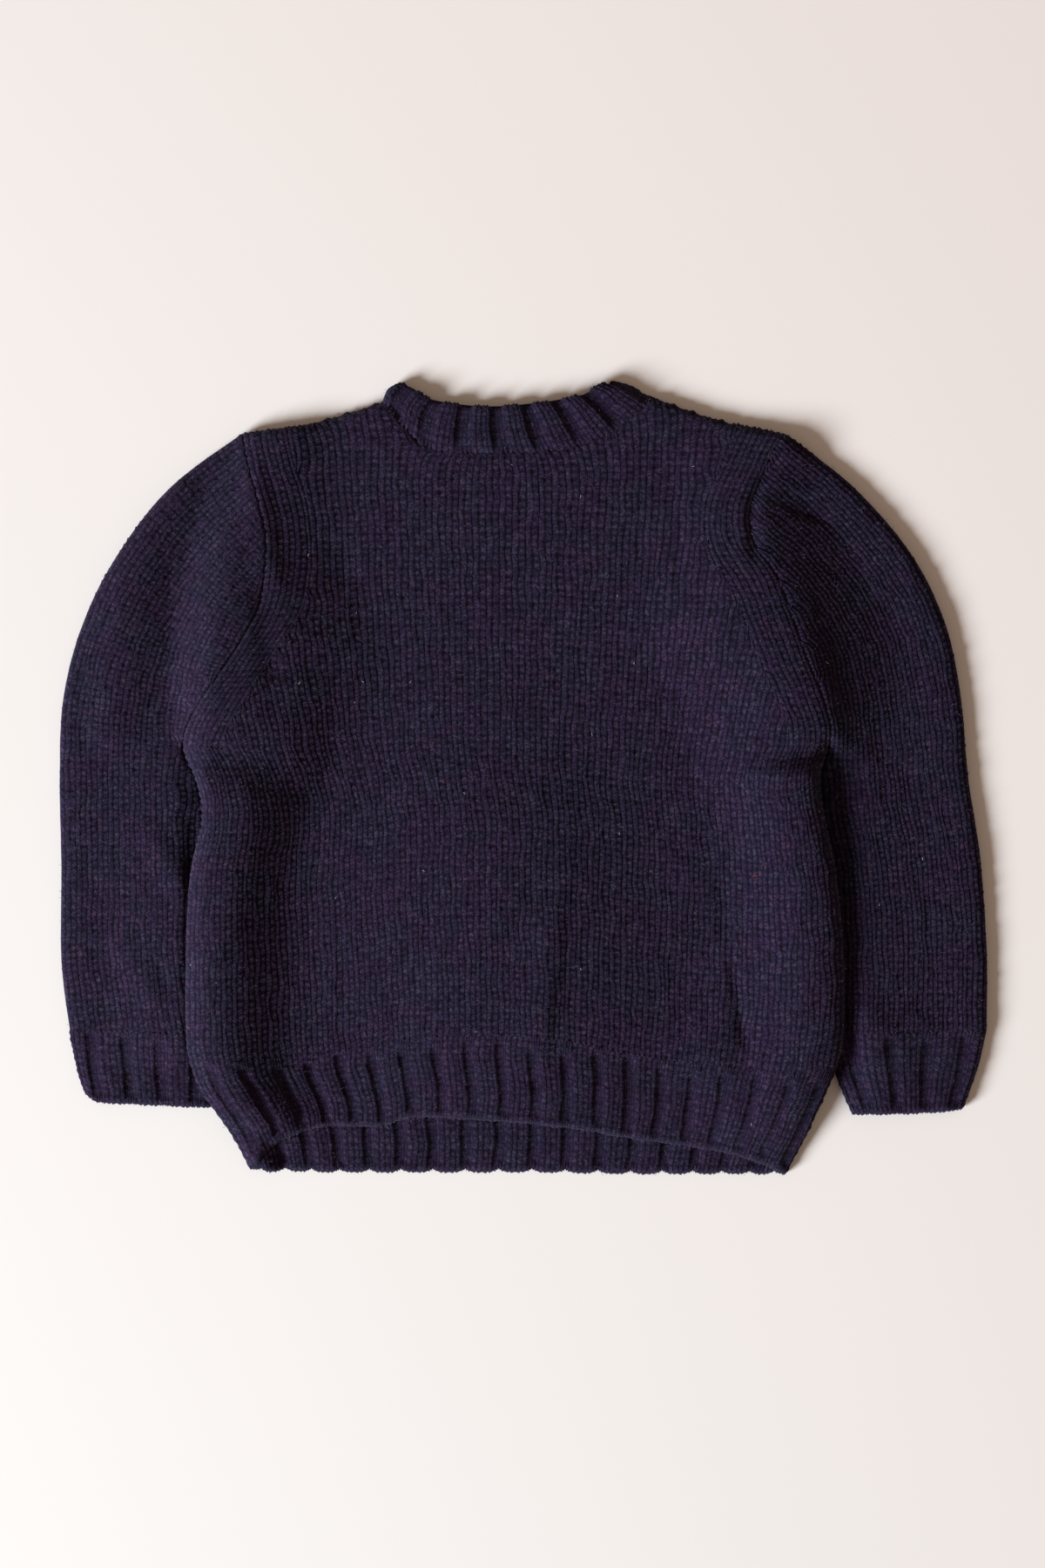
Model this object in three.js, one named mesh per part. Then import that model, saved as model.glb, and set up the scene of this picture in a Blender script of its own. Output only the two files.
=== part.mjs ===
// Child's crew-neck jumper in one dark yarn, laid flat on its front with its back up.
// Millimetres. X runs across the back, Y from hem to neck, Z up from the surface it lies on.
// Every piece is a knitted wall: the upper layer is the back, the lower layer is the front.
import * as THREE from 'three';

// ---- Driving sizes ------------------------------------------------------------------
const WALL = 3;               // thickness of the knitted cloth
const SEAM_GAP = 0.3;         // clearance between two layers that meet at a fold
const SEAM_STEP = 0.45;       // clearance between two pieces along a curved seam
const LAYER_GAP = 0.6;        // air between the two layers where they lie on each other
const MOST_AIR = 3.8;         // most air under a soft fold
const FOLD_REACH = 8;         // how far in from a fold the cloth rounds over
const INSET_REACH = 30;       // how far in from a fold the inner face is drawn inwards
const ARMPIT_Y = 18;          // level of both armpits
const BOW_FADE = 4;           // how fast the sleeve's rings lose the armhole's curve
const SLEEVE_LIFT = 7.2;      // height at which the body's sides ride over the sleeves
const STEPS = { side: 7, neck: 12, aboveArmpit: 11, hem: 5, cuff: 3, sleeve: 13, band: 2 };
const LEVELS_BELOW_ARMPIT = [-125, -95, -68, -46, -30, -16, -6, 6]; // both layers share these
const YARN = { colour: 0x25222f, roughness: 0.95 };

// Side edges of the body, from hem to shoulder tip: side folds first, armholes above them.
const BODY_SIDES = [
  { y: -236, left: -162, right: 155 },
  { y: -214, left: -172, right: 166 },
  { y: -194, left: -185, right: 175 },
  { y: -180, left: -194, right: 181 },
  { y: -160, left: -200, right: 188 },
  { y: -121, left: -201, right: 189 },
  { y: -82, left: -200, right: 187 },
  { y: -51, left: -197, right: 183 },
  { y: -22, left: -190, right: 177 },
  { y: 0, left: -195, right: 174 },
  { y: 18, left: -203, right: 180 },
  { y: 37, left: -196, right: 178 },
  { y: 72, left: -172, right: 165 },
  { y: 98, left: -158, right: 156 },
  { y: 118, left: -154, right: 149 },
  { y: 140, left: -153, right: 135 },
  { y: 160, left: -157, right: 134 },
  { y: 190, left: -165, right: 146 },
  { y: 206, left: -168, right: 156 },
];

// Shoulder folds, from the sleeve to the neck.
const LEFT_SHOULDER = [{ x: -168, y: 205 }, { x: -143, y: 208 }, { x: -118, y: 213 }, { x: -83, y: 224 }];
const RIGHT_SHOULDER = [{ x: 77, y: 226 }, { x: 108, y: 215 }, { x: 134, y: 208 }, { x: 156, y: 204 }];

// Neck seams of the back and of the lower-cut front, left to right, and the band's free edges.
const BACK_NECK = [
  { x: -83, y: 224 }, { x: -64, y: 200 }, { x: -48, y: 194 }, { x: -22, y: 193 },
  { x: 20, y: 195 }, { x: 46, y: 203 }, { x: 62, y: 213 }, { x: 77, y: 226 },
];
const FRONT_NECK = [
  { x: -83, y: 224 }, { x: -70, y: 190 }, { x: -45, y: 156 }, { x: -3, y: 142 },
  { x: 38, y: 156 }, { x: 61, y: 190 }, { x: 77, y: 226 },
];
const BACK_BAND_EDGE = [
  { x: -70, y: 235 }, { x: -56, y: 226 }, { x: -40, y: 222 }, { x: -20, y: 221 },
  { x: 14, y: 224 }, { x: 36, y: 230 }, { x: 55, y: 237 },
];
const FRONT_BAND_EDGE = [
  { x: -70, y: 235 }, { x: -53, y: 202 }, { x: -32, y: 180 }, { x: -3, y: 169 },
  { x: 25, y: 181 }, { x: 42, y: 204 }, { x: 55, y: 237 },
];

// Where the hem ribs start and end. The back layer lies a little higher than the front.
const HEM_LINES = [
  { x: -200, backTop: -167, backEnd: -232, frontTop: -184, frontEnd: -233 },
  { x: -150, backTop: -165, backEnd: -219, frontTop: -184, frontEnd: -234 },
  { x: -115, backTop: -163, backEnd: -206, frontTop: -184, frontEnd: -235 },
  { x: -60, backTop: -153, backEnd: -202, frontTop: -184, frontEnd: -235 },
  { x: 0, backTop: -152, backEnd: -205, frontTop: -184, frontEnd: -235 },
  { x: 60, backTop: -163, backEnd: -213, frontTop: -185, frontEnd: -236 },
  { x: 120, backTop: -171, backEnd: -223, frontTop: -186, frontEnd: -236 },
  { x: 160, backTop: -175, backEnd: -232, frontTop: -186, frontEnd: -236 },
  { x: 190, backTop: -168, backEnd: -235, frontTop: -186, frontEnd: -236 },
];

// Outer edges of the sleeves, from shoulder tip to cuff, and the ends of the cuffs.
const LEFT_SLEEVE_EDGE = [
  { x: -168, y: 205 }, { x: -211, y: 173 }, { x: -243, y: 132 }, { x: -264, y: 90 }, { x: -275, y: 46 },
  { x: -277, y: 0 }, { x: -276, y: -55 }, { x: -276, y: -108 }, { x: -271, y: -150 },
];
const RIGHT_SLEEVE_EDGE = [
  { x: 156, y: 204 }, { x: 196, y: 173 }, { x: 231, y: 132 }, { x: 251, y: 90 }, { x: 260, y: 46 },
  { x: 264, y: 0 }, { x: 271, y: -45 }, { x: 275, y: -100 }, { x: 275, y: -150 },
];
const LEFT_CUFF = { outer: { x: -258, y: -193 }, inner: { x: -187, y: -196 }, innerTop: { x: -184, y: -152 } };
const RIGHT_CUFF = { outer: { x: 261, y: -198 }, inner: { x: 195, y: -200 }, innerTop: { x: 179, y: -152 } };

// How far each sleeve's inner edge passes under the body's side fold, going down from the armpit.
const SLEEVE_UNDER_SIDE = [
  { y: 8, left: -1.8, right: -2.4 },
  { y: -12, left: -1.8, right: -1.8 },
  { y: -34, left: 3, right: 3 },
  { y: -60, left: 12, right: 8 },
  { y: -110, left: 16, right: 11 },
];

// Soft folds that run over the armholes, from the body on to the sleeves:
// a line, how far the fold reaches on each side of it, and the air it adds beneath.
const ARMHOLE_FOLDS = [
  { name: 'left sleeve ridge', x1: -196, y1: 134, x2: -190, y2: 62, reach: 20, air: 3.2 },
  { name: 'left armpit ridge', x1: -190, y1: 62, x2: -203, y2: 30, reach: 16, air: 2.6 },
  { name: 'left armhole ridge', x1: -163, y1: 190, x2: -148, y2: 120, reach: 18, air: 1.6 },
  { name: 'right armhole ridge', x1: 138, y1: 186, x2: 128, y2: 128, reach: 22, air: 1.8 },
  { name: 'right armpit ridge', x1: 140, y1: 110, x2: 170, y2: 48, reach: 22, air: 2.6 },
];

// Soft folds of the body alone.
const BODY_FOLDS = [
  { name: 'left side swell', x1: -150, y1: 0, x2: -168, y2: -140, reach: 42, air: 2.4 },
  { name: 'right side swell', x1: 140, y1: 0, x2: 150, y2: -140, reach: 46, air: 2.6 },
  { name: 'low back swell', x1: -70, y1: -60, x2: -50, y2: -120, reach: 60, air: 1.2 },
  { name: 'right back swell', x1: 60, y1: -80, x2: 70, y2: -150, reach: 40, air: 1.0 },
  { name: 'left hem corner', x1: -182, y1: -186, x2: -160, y2: -228, reach: 34, air: 2.2 },
  { name: 'right hem corner', x1: 174, y1: -186, x2: 154, y2: -228, reach: 34, air: 2.2 },
];

// ---- Small reading and easing functions ----------------------------------------------
const clamp01 = (value) => Math.min(1, Math.max(0, value));

function ease(from, to, value) {
  const t = clamp01((value - from) / (to - from));
  return t * t * (3 - 2 * t);
}

// Reads one column of a table at a place between its rows, on a smooth curve through them.
function readTable(rows, key, column, at) {
  const rising = rows[rows.length - 1][key] > rows[0][key];
  const ordered = rising ? rows : [...rows].reverse();
  const place = Math.min(Math.max(at, ordered[0][key]), ordered[ordered.length - 1][key]);
  let i = 0;
  while (i < ordered.length - 2 && place > ordered[i + 1][key]) i += 1;
  const slope = (a, b) => (ordered[b][column] - ordered[a][column]) / (ordered[b][key] - ordered[a][key]);
  const last = ordered.length - 1;
  const step = ordered[i + 1][key] - ordered[i][key];
  const t = (place - ordered[i][key]) / step;
  const startSlope = slope(Math.max(i - 1, 0), i + 1) * step;
  const endSlope = slope(i, Math.min(i + 2, last)) * step;
  const start = ordered[i][column];
  const end = ordered[i + 1][column];
  const t2 = t * t;
  const t3 = t2 * t;
  return (2 * t3 - 3 * t2 + 1) * start + (t3 - 2 * t2 + t) * startSlope
    + (3 * t2 - 2 * t3) * end + (t3 - t2) * endSlope;
}

const curveThrough = (rows) => new THREE.SplineCurve(rows.map((row) => new THREE.Vector2(row.x, row.y)));
const point = (row) => new THREE.Vector2(row.x, row.y);

// Steps that crowd at both ends, where the cloth turns over a fold.
const crowdEnds = (count) => Array.from({ length: count + 1 }, (_, i) => (1 - Math.cos(Math.PI * i / count)) / 2);
const crowdStart = (count) => Array.from({ length: count + 1 }, (_, i) => 1 - Math.cos(Math.PI * i / (2 * count)));

function distanceToLine(place, line) {
  let best = Infinity;
  for (let i = 0; i < line.length - 1; i += 1) {
    const along = line[i + 1].clone().sub(line[i]);
    const t = clamp01(place.clone().sub(line[i]).dot(along) / along.lengthSq());
    const foot = line[i].clone().addScaledVector(along, t);
    best = Math.min(best, foot.distanceTo(place));
  }
  return best;
}

// ---- Heights ----------------------------------------------------------------------
const sideX = (side, y) => readTable(BODY_SIDES, 'y', side, y);

// Air between the layers at a place: a little everywhere, more under the soft folds.
function airUnder(softFolds, place) {
  let total = LAYER_GAP;
  for (const fold of softFolds) {
    const line = [new THREE.Vector2(fold.x1, fold.y1), new THREE.Vector2(fold.x2, fold.y2)];
    const off = distanceToLine(place, line) / fold.reach;
    if (off < 1) total += fold.air * (1 - off * off) ** 2;
  }
  return Math.min(total, MOST_AIR);
}

const bodyAir = (place) => airUnder([...ARMHOLE_FOLDS, ...BODY_FOLDS], place);
const sleeveAir = (place) => airUnder(ARMHOLE_FOLDS, place);

// The body's sides are carried up by the sleeve edges that lie under them.
function bodyBase(place) {
  const down = ease(ARMPIT_Y - 1, ARMPIT_Y - 32, place.y) * (1 - ease(-190, -232, place.y));
  const fromLeft = place.x - sideX('left', place.y);
  const fromRight = sideX('right', place.y) - place.x;
  return SLEEVE_LIFT * down * (1 - ease(20, 52, Math.min(fromLeft, fromRight)));
}

const onSurface = () => 0;

const rounding = (distance, reach) => (distance >= reach ? 1 : Math.sqrt(1 - (1 - Math.max(distance, 0) / reach) ** 2));

// Height of one face of one layer: layer +1 is the upper, -1 the lower, which is outside in.
function faceHeight(place, { layer, outside, base, air, folds }) {
  const half = WALL + air(place) / 2;
  const middle = base(place) + half;
  const distance = Math.min(...folds.map((line) => distanceToLine(place, line)));
  const reach = outside ? FOLD_REACH : FOLD_REACH - WALL;
  const inFromFold = outside ? distance : distance - WALL;
  const offset = (outside ? half : half - WALL) * rounding(inFromFold, reach);
  return middle + layer * Math.max(offset, SEAM_GAP / 2);
}

// The inner face is drawn in by one wall at a fold, less and less away from it.
const drawnIn = (distance, weight = 1) => (
  distance < INSET_REACH ? WALL * weight + distance * (1 - WALL * weight / INSET_REACH) : distance
);

// ---- Shells -------------------------------------------------------------------------
// Closes two grids of points, outer and inner, into one wall. Rows run along, columns across.
function wallBetween(outer, inner, closedAcross) {
  const rows = outer.length;
  const columns = outer[0].length;
  const positions = [];
  for (const grid of [outer, inner]) for (const row of grid) for (const p of row) positions.push(p.x, p.y, p.z);
  const at = (side, r, c) => side * rows * columns + r * columns + (c % columns);
  const indices = [];
  const quad = (a, b, c, d) => indices.push(a, b, c, a, c, d);
  const across = closedAcross ? columns : columns - 1;
  for (let r = 0; r < rows - 1; r += 1) {
    for (let c = 0; c < across; c += 1) {
      quad(at(0, r, c), at(0, r, c + 1), at(0, r + 1, c + 1), at(0, r + 1, c));
      quad(at(1, r, c), at(1, r + 1, c), at(1, r + 1, c + 1), at(1, r, c + 1));
    }
  }
  for (let c = 0; c < across; c += 1) {
    quad(at(0, 0, c), at(1, 0, c), at(1, 0, c + 1), at(0, 0, c + 1));
    quad(at(0, rows - 1, c), at(0, rows - 1, c + 1), at(1, rows - 1, c + 1), at(1, rows - 1, c));
  }
  for (let r = 0; r < rows - 1 && !closedAcross; r += 1) {
    quad(at(0, r, 0), at(0, r + 1, 0), at(1, r + 1, 0), at(1, r, 0));
    quad(at(0, r, columns - 1), at(1, r, columns - 1), at(1, r + 1, columns - 1), at(0, r + 1, columns - 1));
  }
  return facingOut(positions, indices);
}

function facingOut(positions, indices) {
  const corner = (i) => new THREE.Vector3().fromArray(positions, 3 * i);
  let volume = 0;
  for (let i = 0; i < indices.length; i += 3) {
    volume += corner(indices[i]).dot(corner(indices[i + 1]).cross(corner(indices[i + 2])));
  }
  const turned = volume < 0 ? [...indices].reverse() : indices;
  const geometry = new THREE.BufferGeometry();
  geometry.setAttribute('position', new THREE.Float32BufferAttribute(positions, 3));
  geometry.setIndex(turned);
  geometry.computeVertexNormals();
  return geometry;
}

const raise = (place, height) => new THREE.Vector3(place.x, place.y, height);

// ---- Body: columns run from rib to shoulder or neck, rows from side to side -----------
function topEdge(neckCurve) {
  const left = curveThrough(LEFT_SHOULDER);
  const right = curveThrough(RIGHT_SHOULDER);
  const sides = crowdStart(STEPS.side);
  const shoulderIn = sides.map((t) => left.getPointAt(t));
  const neck = crowdEnds(STEPS.neck).map((t) => neckCurve.getPointAt(t));
  const shoulderOut = sides.map((t) => right.getPointAt(1 - t)).reverse();
  return [...shoulderIn, ...neck.slice(1, -1), ...shoulderOut];
}

function bodyColumn(top) {
  const left = sideX('left', top.y);
  const share = (top.x - left) / (sideX('right', top.y) - left);
  const atLevel = (y) => {
    const from = sideX('left', y);
    return new THREE.Vector2(from + share * (sideX('right', y) - from), y);
  };
  const line = (column) => readTable(HEM_LINES, 'x', column, atLevel(-160).x);
  return { share, top, atLevel, line };
}

const bodyColumns = (neckCurve) => topEdge(neckCurve).map(bodyColumn);
const backNeck = curveThrough(BACK_NECK);
const frontNeck = curveThrough(FRONT_NECK);
const backColumns = bodyColumns(backNeck);
const frontColumns = bodyColumns(frontNeck);
const isShoulder = (i) => i <= STEPS.side || i >= STEPS.side + STEPS.neck;

function panelLevels(column, ribTop) {
  const above = crowdEnds(STEPS.aboveArmpit).map((t) => THREE.MathUtils.lerp(ARMPIT_Y, column.top.y, t));
  return [ribTop, ...LEVELS_BELOW_ARMPIT, ...above];
}

const ribLevels = (from, to) => Array.from({ length: STEPS.hem + 1 }, (_, i) => (
  THREE.MathUtils.lerp(from, to, i / STEPS.hem)));

// Plan place of the inner face behind a plan place of the outer face.
function behind(column, index, y) {
  const shoulderWeight = isShoulder(index) ? 1 : 0;
  const level = column.top.y - drawnIn(column.top.y - y, shoulderWeight);
  const place = column.atLevel(level);
  const weight = 1 - ease(ARMPIT_Y, ARMPIT_Y + 12, level);
  const left = sideX('left', level);
  const right = sideX('right', level);
  if (column.share < 0.5) place.x = left + drawnIn(place.x - left, weight);
  else place.x = right - drawnIn(right - place.x, weight);
  return place;
}

function bodyFolds(columns, levelsOf) {
  const side = (column) => levelsOf(column).filter((y) => y <= ARMPIT_Y + 0.01).map((y) => column.atLevel(y));
  const shoulder = (from, to) => columns.slice(from, to).map((column) => column.top);
  return [
    side(columns[0]), side(columns[columns.length - 1]),
    shoulder(0, STEPS.side + 1), shoulder(STEPS.side + STEPS.neck, columns.length),
  ];
}

function bodyPiece(columns, levelsOf, layer, folds) {
  const options = { layer, base: bodyBase, air: bodyAir, folds };
  const rows = levelsOf(columns[0]).length;
  const grid = (outside) => Array.from({ length: rows }, (_, r) => columns.map((column, i) => {
    const y = levelsOf(column)[r];
    const place = outside ? column.atLevel(y) : behind(column, i, y);
    return raise(place, faceHeight(place, { ...options, outside }));
  }));
  return wallBetween(grid(true), grid(false), false);
}

const levels = {
  backPanel: (column) => panelLevels(column, column.line('backTop')),
  frontPanel: (column) => panelLevels(column, column.line('frontTop')),
  backRib: (column) => ribLevels(column.line('backTop') - SEAM_GAP, column.line('backEnd')),
  frontRib: (column) => ribLevels(column.line('frontTop') - SEAM_GAP, column.line('frontEnd')),
};
const backFolds = bodyFolds(backColumns, levels.backPanel);
const frontFolds = bodyFolds(frontColumns, levels.frontPanel);
const backRibFolds = bodyFolds(backColumns, levels.backRib).slice(0, 2);
const frontRibFolds = bodyFolds(frontColumns, levels.frontRib).slice(0, 2);

// ---- Tubes: sleeves, cuffs and neckband, flattened, with an upper and a lower layer ------
// planAt(s, t, layer) gives the plan place: s from one open end to the other, t from fold to fold.
function flatTube({ planAt, rows, stations, air }) {
  const foldAt = (t) => rows.map((s) => planAt(s, t, 1));
  const folds = [foldAt(0), foldAt(1)];
  const span = stations.length - 1;
  const turn = [
    ...stations.map((t, i) => ({ t, layer: 1, fold: i === 0 || i === span })),
    ...stations.slice(1, -1).map((t) => ({ t, layer: -1, fold: false })).reverse(),
  ];
  const grid = (outside) => rows.map((s) => turn.map(({ t, layer, fold }) => {
    const width = planAt(s, 0.5, layer).distanceTo(planAt(s, 0, layer)) * 2;
    const near = Math.min(t, 1 - t);
    const drawn = outside ? near : Math.min(drawnIn(near * width) / width, 0.5);
    const place = planAt(s, t < 0.5 ? drawn : 1 - drawn, layer);
    const middle = WALL + air(place) / 2;
    return raise(place, fold ? middle : faceHeight(place, { layer, outside, base: onSurface, air, folds }));
  }));
  return wallBetween(grid(true), grid(false), true);
}

// A place on a line of points, at a share of its length.
function alongPoints(points) {
  const lengths = [0];
  for (let i = 1; i < points.length; i += 1) lengths.push(lengths[i - 1] + points[i].distanceTo(points[i - 1]));
  const total = lengths[lengths.length - 1];
  const shares = lengths.map((length) => length / total);
  const at = (t) => {
    let i = 0;
    while (i < points.length - 2 && t > shares[i + 1]) i += 1;
    return points[i].clone().lerp(points[i + 1], (t - shares[i]) / (shares[i + 1] - shares[i]));
  };
  return { shares, at };
}

// A sleeve's plan: rings fan round the armpit, bowed like the armhole at first, then straight.
function sleevePlan(armhole, outer, inner) {
  return (s, t) => {
    const bow = armhole(t).sub(armhole(0).lerp(armhole(1), t));
    return outer(s).lerp(inner(s * s), t).addScaledVector(bow, (1 - s) ** BOW_FADE);
  };
}

const evenly = (count) => Array.from({ length: count + 1 }, (_, i) => i / count);

function sleevePieces(side, outerRows, cuff) {
  const column = side === 'left' ? backColumns[0] : backColumns[backColumns.length - 1];
  const outward = side === 'left' ? -1 : 1;
  const edge = levels.backPanel(column).filter((y) => y >= ARMPIT_Y - 0.01).map((y) => column.atLevel(y)).reverse();
  const armhole = alongPoints(edge.map((p) => new THREE.Vector2(p.x + outward * SEAM_STEP, p.y)));
  const outerCurve = curveThrough([armhole.at(0), ...outerRows.slice(1)]);
  const cuffTop = [point(outerRows[outerRows.length - 1]), point(cuff.innerTop)];
  const innerLine = SLEEVE_UNDER_SIDE.map(({ y, ...under }) => (
    { x: sideX(side, y) - outward * under[side], y }));
  const innerCurve = curveThrough([armhole.at(1), ...innerLine, cuff.innerTop]);
  const cuffLine = (t) => cuffTop[0].clone().lerp(cuffTop[1], t);
  const sheet = sleevePlan(armhole.at, (s) => outerCurve.getPointAt(s), (s) => innerCurve.getPointAt(s));
  const stations = armhole.shares;
  const sleeve = flatTube({ planAt: sheet, rows: evenly(STEPS.sleeve), stations, air: sleeveAir });
  const start = (t) => cuffLine(t).add(new THREE.Vector2(0, -SEAM_STEP));
  const end = (t) => point(cuff.outer).lerp(point(cuff.inner), t);
  const cuffSheet = (s, t) => start(t).lerp(end(t), s);
  const rib = flatTube({ planAt: cuffSheet, rows: evenly(STEPS.cuff), stations, air: sleeveAir });
  return { sleeve, rib };
}

function neckbandPiece() {
  const first = STEPS.side;
  const neckOf = (columns) => columns.slice(first, first + STEPS.neck + 1).map((column) => column.top);
  const layers = { 1: [neckOf(backColumns), BACK_BAND_EDGE], '-1': [neckOf(frontColumns), FRONT_BAND_EDGE] };
  const stations = crowdEnds(STEPS.neck);
  const parts = {};
  for (const [layer, [seam, edgeRows]] of Object.entries(layers)) {
    parts[layer] = { seam: (t) => betweenStations(seam, stations, t), edge: curveThrough(edgeRows) };
  }
  const planAt = (s, t, layer) => {
    const seam = parts[layer].seam(t);
    const free = parts[layer].edge.getPointAt(t);
    const across = free.clone().sub(seam);
    const start = SEAM_STEP / across.length();
    return seam.addScaledVector(across, start + s * (1 - start));
  };
  return flatTube({ planAt, rows: evenly(STEPS.band), stations, air: sleeveAir });
}

function betweenStations(points, stations, t) {
  let i = 0;
  while (i < points.length - 2 && t > stations[i + 1]) i += 1;
  return points[i].clone().lerp(points[i + 1], (t - stations[i]) / (stations[i + 1] - stations[i]));
}

// ---- The jumper -----------------------------------------------------------------------
const knit = () => new THREE.MeshStandardMaterial({ color: YARN.colour, roughness: YARN.roughness, metalness: 0 });
const jumper = new THREE.Group();
function addPiece(name, geometry) {
  const mesh = new THREE.Mesh(geometry, knit());
  mesh.name = name;
  jumper.add(mesh);
}

const leftArm = sleevePieces('left', LEFT_SLEEVE_EDGE, LEFT_CUFF);
const rightArm = sleevePieces('right', RIGHT_SLEEVE_EDGE, RIGHT_CUFF);
addPiece('back_panel', bodyPiece(backColumns, levels.backPanel, 1, backFolds));
addPiece('front_panel', bodyPiece(frontColumns, levels.frontPanel, -1, frontFolds));
addPiece('back_hem_rib', bodyPiece(backColumns, levels.backRib, 1, backRibFolds));
addPiece('front_hem_rib', bodyPiece(frontColumns, levels.frontRib, -1, frontRibFolds));
addPiece('left_sleeve', leftArm.sleeve);
addPiece('right_sleeve', rightArm.sleeve);
addPiece('left_cuff', leftArm.rib);
addPiece('right_cuff', rightArm.rib);
addPiece('neckband', neckbandPiece());

// The origin is the middle of the jumper's footprint, on the surface it lies on.
const footprint = new THREE.Box3().setFromObject(jumper);
jumper.position.set(
  -(footprint.min.x + footprint.max.x) / 2, -(footprint.min.y + footprint.max.y) / 2, -footprint.min.z);

export default jumper;
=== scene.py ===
"""A child's chunky crew-neck jumper in dark heather yarn, laid flat on its front with its back up."""
import math
import bpy
import numpy as np
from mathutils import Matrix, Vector
from mathutils.bvhtree import BVHTree


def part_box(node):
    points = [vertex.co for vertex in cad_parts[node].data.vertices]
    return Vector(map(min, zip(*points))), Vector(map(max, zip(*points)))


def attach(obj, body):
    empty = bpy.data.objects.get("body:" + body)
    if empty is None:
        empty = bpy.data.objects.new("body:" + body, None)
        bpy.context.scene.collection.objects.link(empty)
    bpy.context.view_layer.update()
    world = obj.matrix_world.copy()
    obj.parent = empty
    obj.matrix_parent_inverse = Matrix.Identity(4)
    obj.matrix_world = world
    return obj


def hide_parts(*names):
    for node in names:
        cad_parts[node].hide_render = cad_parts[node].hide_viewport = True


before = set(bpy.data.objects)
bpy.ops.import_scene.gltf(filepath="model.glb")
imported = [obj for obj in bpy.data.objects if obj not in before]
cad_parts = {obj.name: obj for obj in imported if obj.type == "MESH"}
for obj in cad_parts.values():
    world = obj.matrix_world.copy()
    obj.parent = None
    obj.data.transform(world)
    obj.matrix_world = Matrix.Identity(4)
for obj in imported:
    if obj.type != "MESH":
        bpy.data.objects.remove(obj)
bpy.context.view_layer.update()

# ==============================
# The surface it lies on, the light and the camera.
# A plain pale sheet, one soft window low on the left and a warm, weak fill from the room.
# The camera looks straight down, with the hem towards the foot of the picture.
# ==============================
FLOOR_SIZE = 6.0                    # metres
FLOOR_NEAR, FLOOR_FAR = (0.768, 0.762, 0.752), (0.945, 0.890, 0.880)    # a faint change of tint across it, and lighter away from the window: painted light that evens out the window's falloff
TINT_AND_PAINTED_LIGHT_ACROSS, TINT_AND_PAINTED_LIGHT_REACH = (0.144, 0.139, 0.0), 0.11
WINDOW_PLACE, WINDOW_SIZE, WINDOW_POWER, WINDOW_COLOUR = (-3.65, -2.28, 2.00), 1.9, 455, (0.93, 0.97, 1.0)
ROOM_COLOUR, ROOM_STRENGTH = (1.0, 0.74, 0.56), 0.27
CAMERA_HEIGHT = 1.30
CAMERA_CENTRE = (-0.0005, -0.0040)
LENS_MM, SENSOR_MM = 50.0, 36.0
scene = bpy.context.scene


def new_object(name, mesh):
    piece = bpy.data.objects.new(name, mesh)
    scene.collection.objects.link(piece)
    return piece


class Value:
    """An output of a node, with the usual arithmetic."""

    def __init__(self, socket):
        self.socket, self.tree = socket, socket.id_data

    def beside(self, name):
        """Another output of the same node."""
        return Value(self.socket.node.outputs[name])

    def into(self, socket):
        self.tree.links.new(self.socket, socket)

    def calc(self, kind, *values):
        return make(self.tree, "ShaderNodeMath", values, operation=kind)

    def over(self, limit):
        return self.calc("GREATER_THAN", self, limit)

    def __add__(self, other):
        return self.calc("ADD", self, other)

    def __sub__(self, other):
        return self.calc("SUBTRACT", self, other)

    def __rsub__(self, other):
        return self.calc("SUBTRACT", other, self)

    def __mul__(self, other):
        return self.calc("MULTIPLY", self, other)

    def __truediv__(self, other):
        return self.calc("DIVIDE", self, other)

    def __pow__(self, other):
        return self.calc("POWER", self, other)

    __radd__, __rmul__ = __add__, __mul__


def make(tree, kind, inputs=(), output=0, **settings):
    """Adds a node and gives one of its outputs. Its inputs, in order or by name or number, are linked to a value
    or set to a number."""
    node = tree.nodes.new(kind)
    for name, setting in settings.items():
        setattr(node, name, setting)
    for key, value in (inputs if isinstance(inputs, dict) else dict(enumerate(inputs))).items():
        if isinstance(value, Value):
            value.into(node.inputs[key])
        else:
            node.inputs[key].default_value = value
    return Value(node.outputs[output])


def parts_of(vector):
    """The three numbers of a vector."""
    first = make(vector.tree, "ShaderNodeSeparateXYZ", [vector])
    return first, first.beside(1), first.beside(2)


def material_with(name, **values):
    """A plain material: its tree and its shader, with some of the shader's inputs set."""
    material = bpy.data.materials.new(name)
    material.use_nodes = True
    shader = material.node_tree.nodes["Principled BSDF"]
    for label, value in values.items():
        shader.inputs[label.replace("_", " ").title().replace("Ior", "IOR")].default_value = value
    return material, material.node_tree, shader


def plain_material(name, colour, roughness):
    return material_with(name, base_color=(*colour, 1), roughness=roughness, specular_ior_level=0.2)[0]


floor_mesh = bpy.data.meshes.new("pale_sheet")
floor_mesh.from_pydata([(x * FLOOR_SIZE / 2, y * FLOOR_SIZE / 2, 0) for x, y in ((-1, -1), (1, -1), (1, 1), (-1, 1))],
                       [], [(0, 1, 2, 3)])
floor = new_object("pale_sheet", floor_mesh)
paper, tree, shader = material_with("pale_paper", roughness=0.9, specular_ior_level=0.2)
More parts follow.
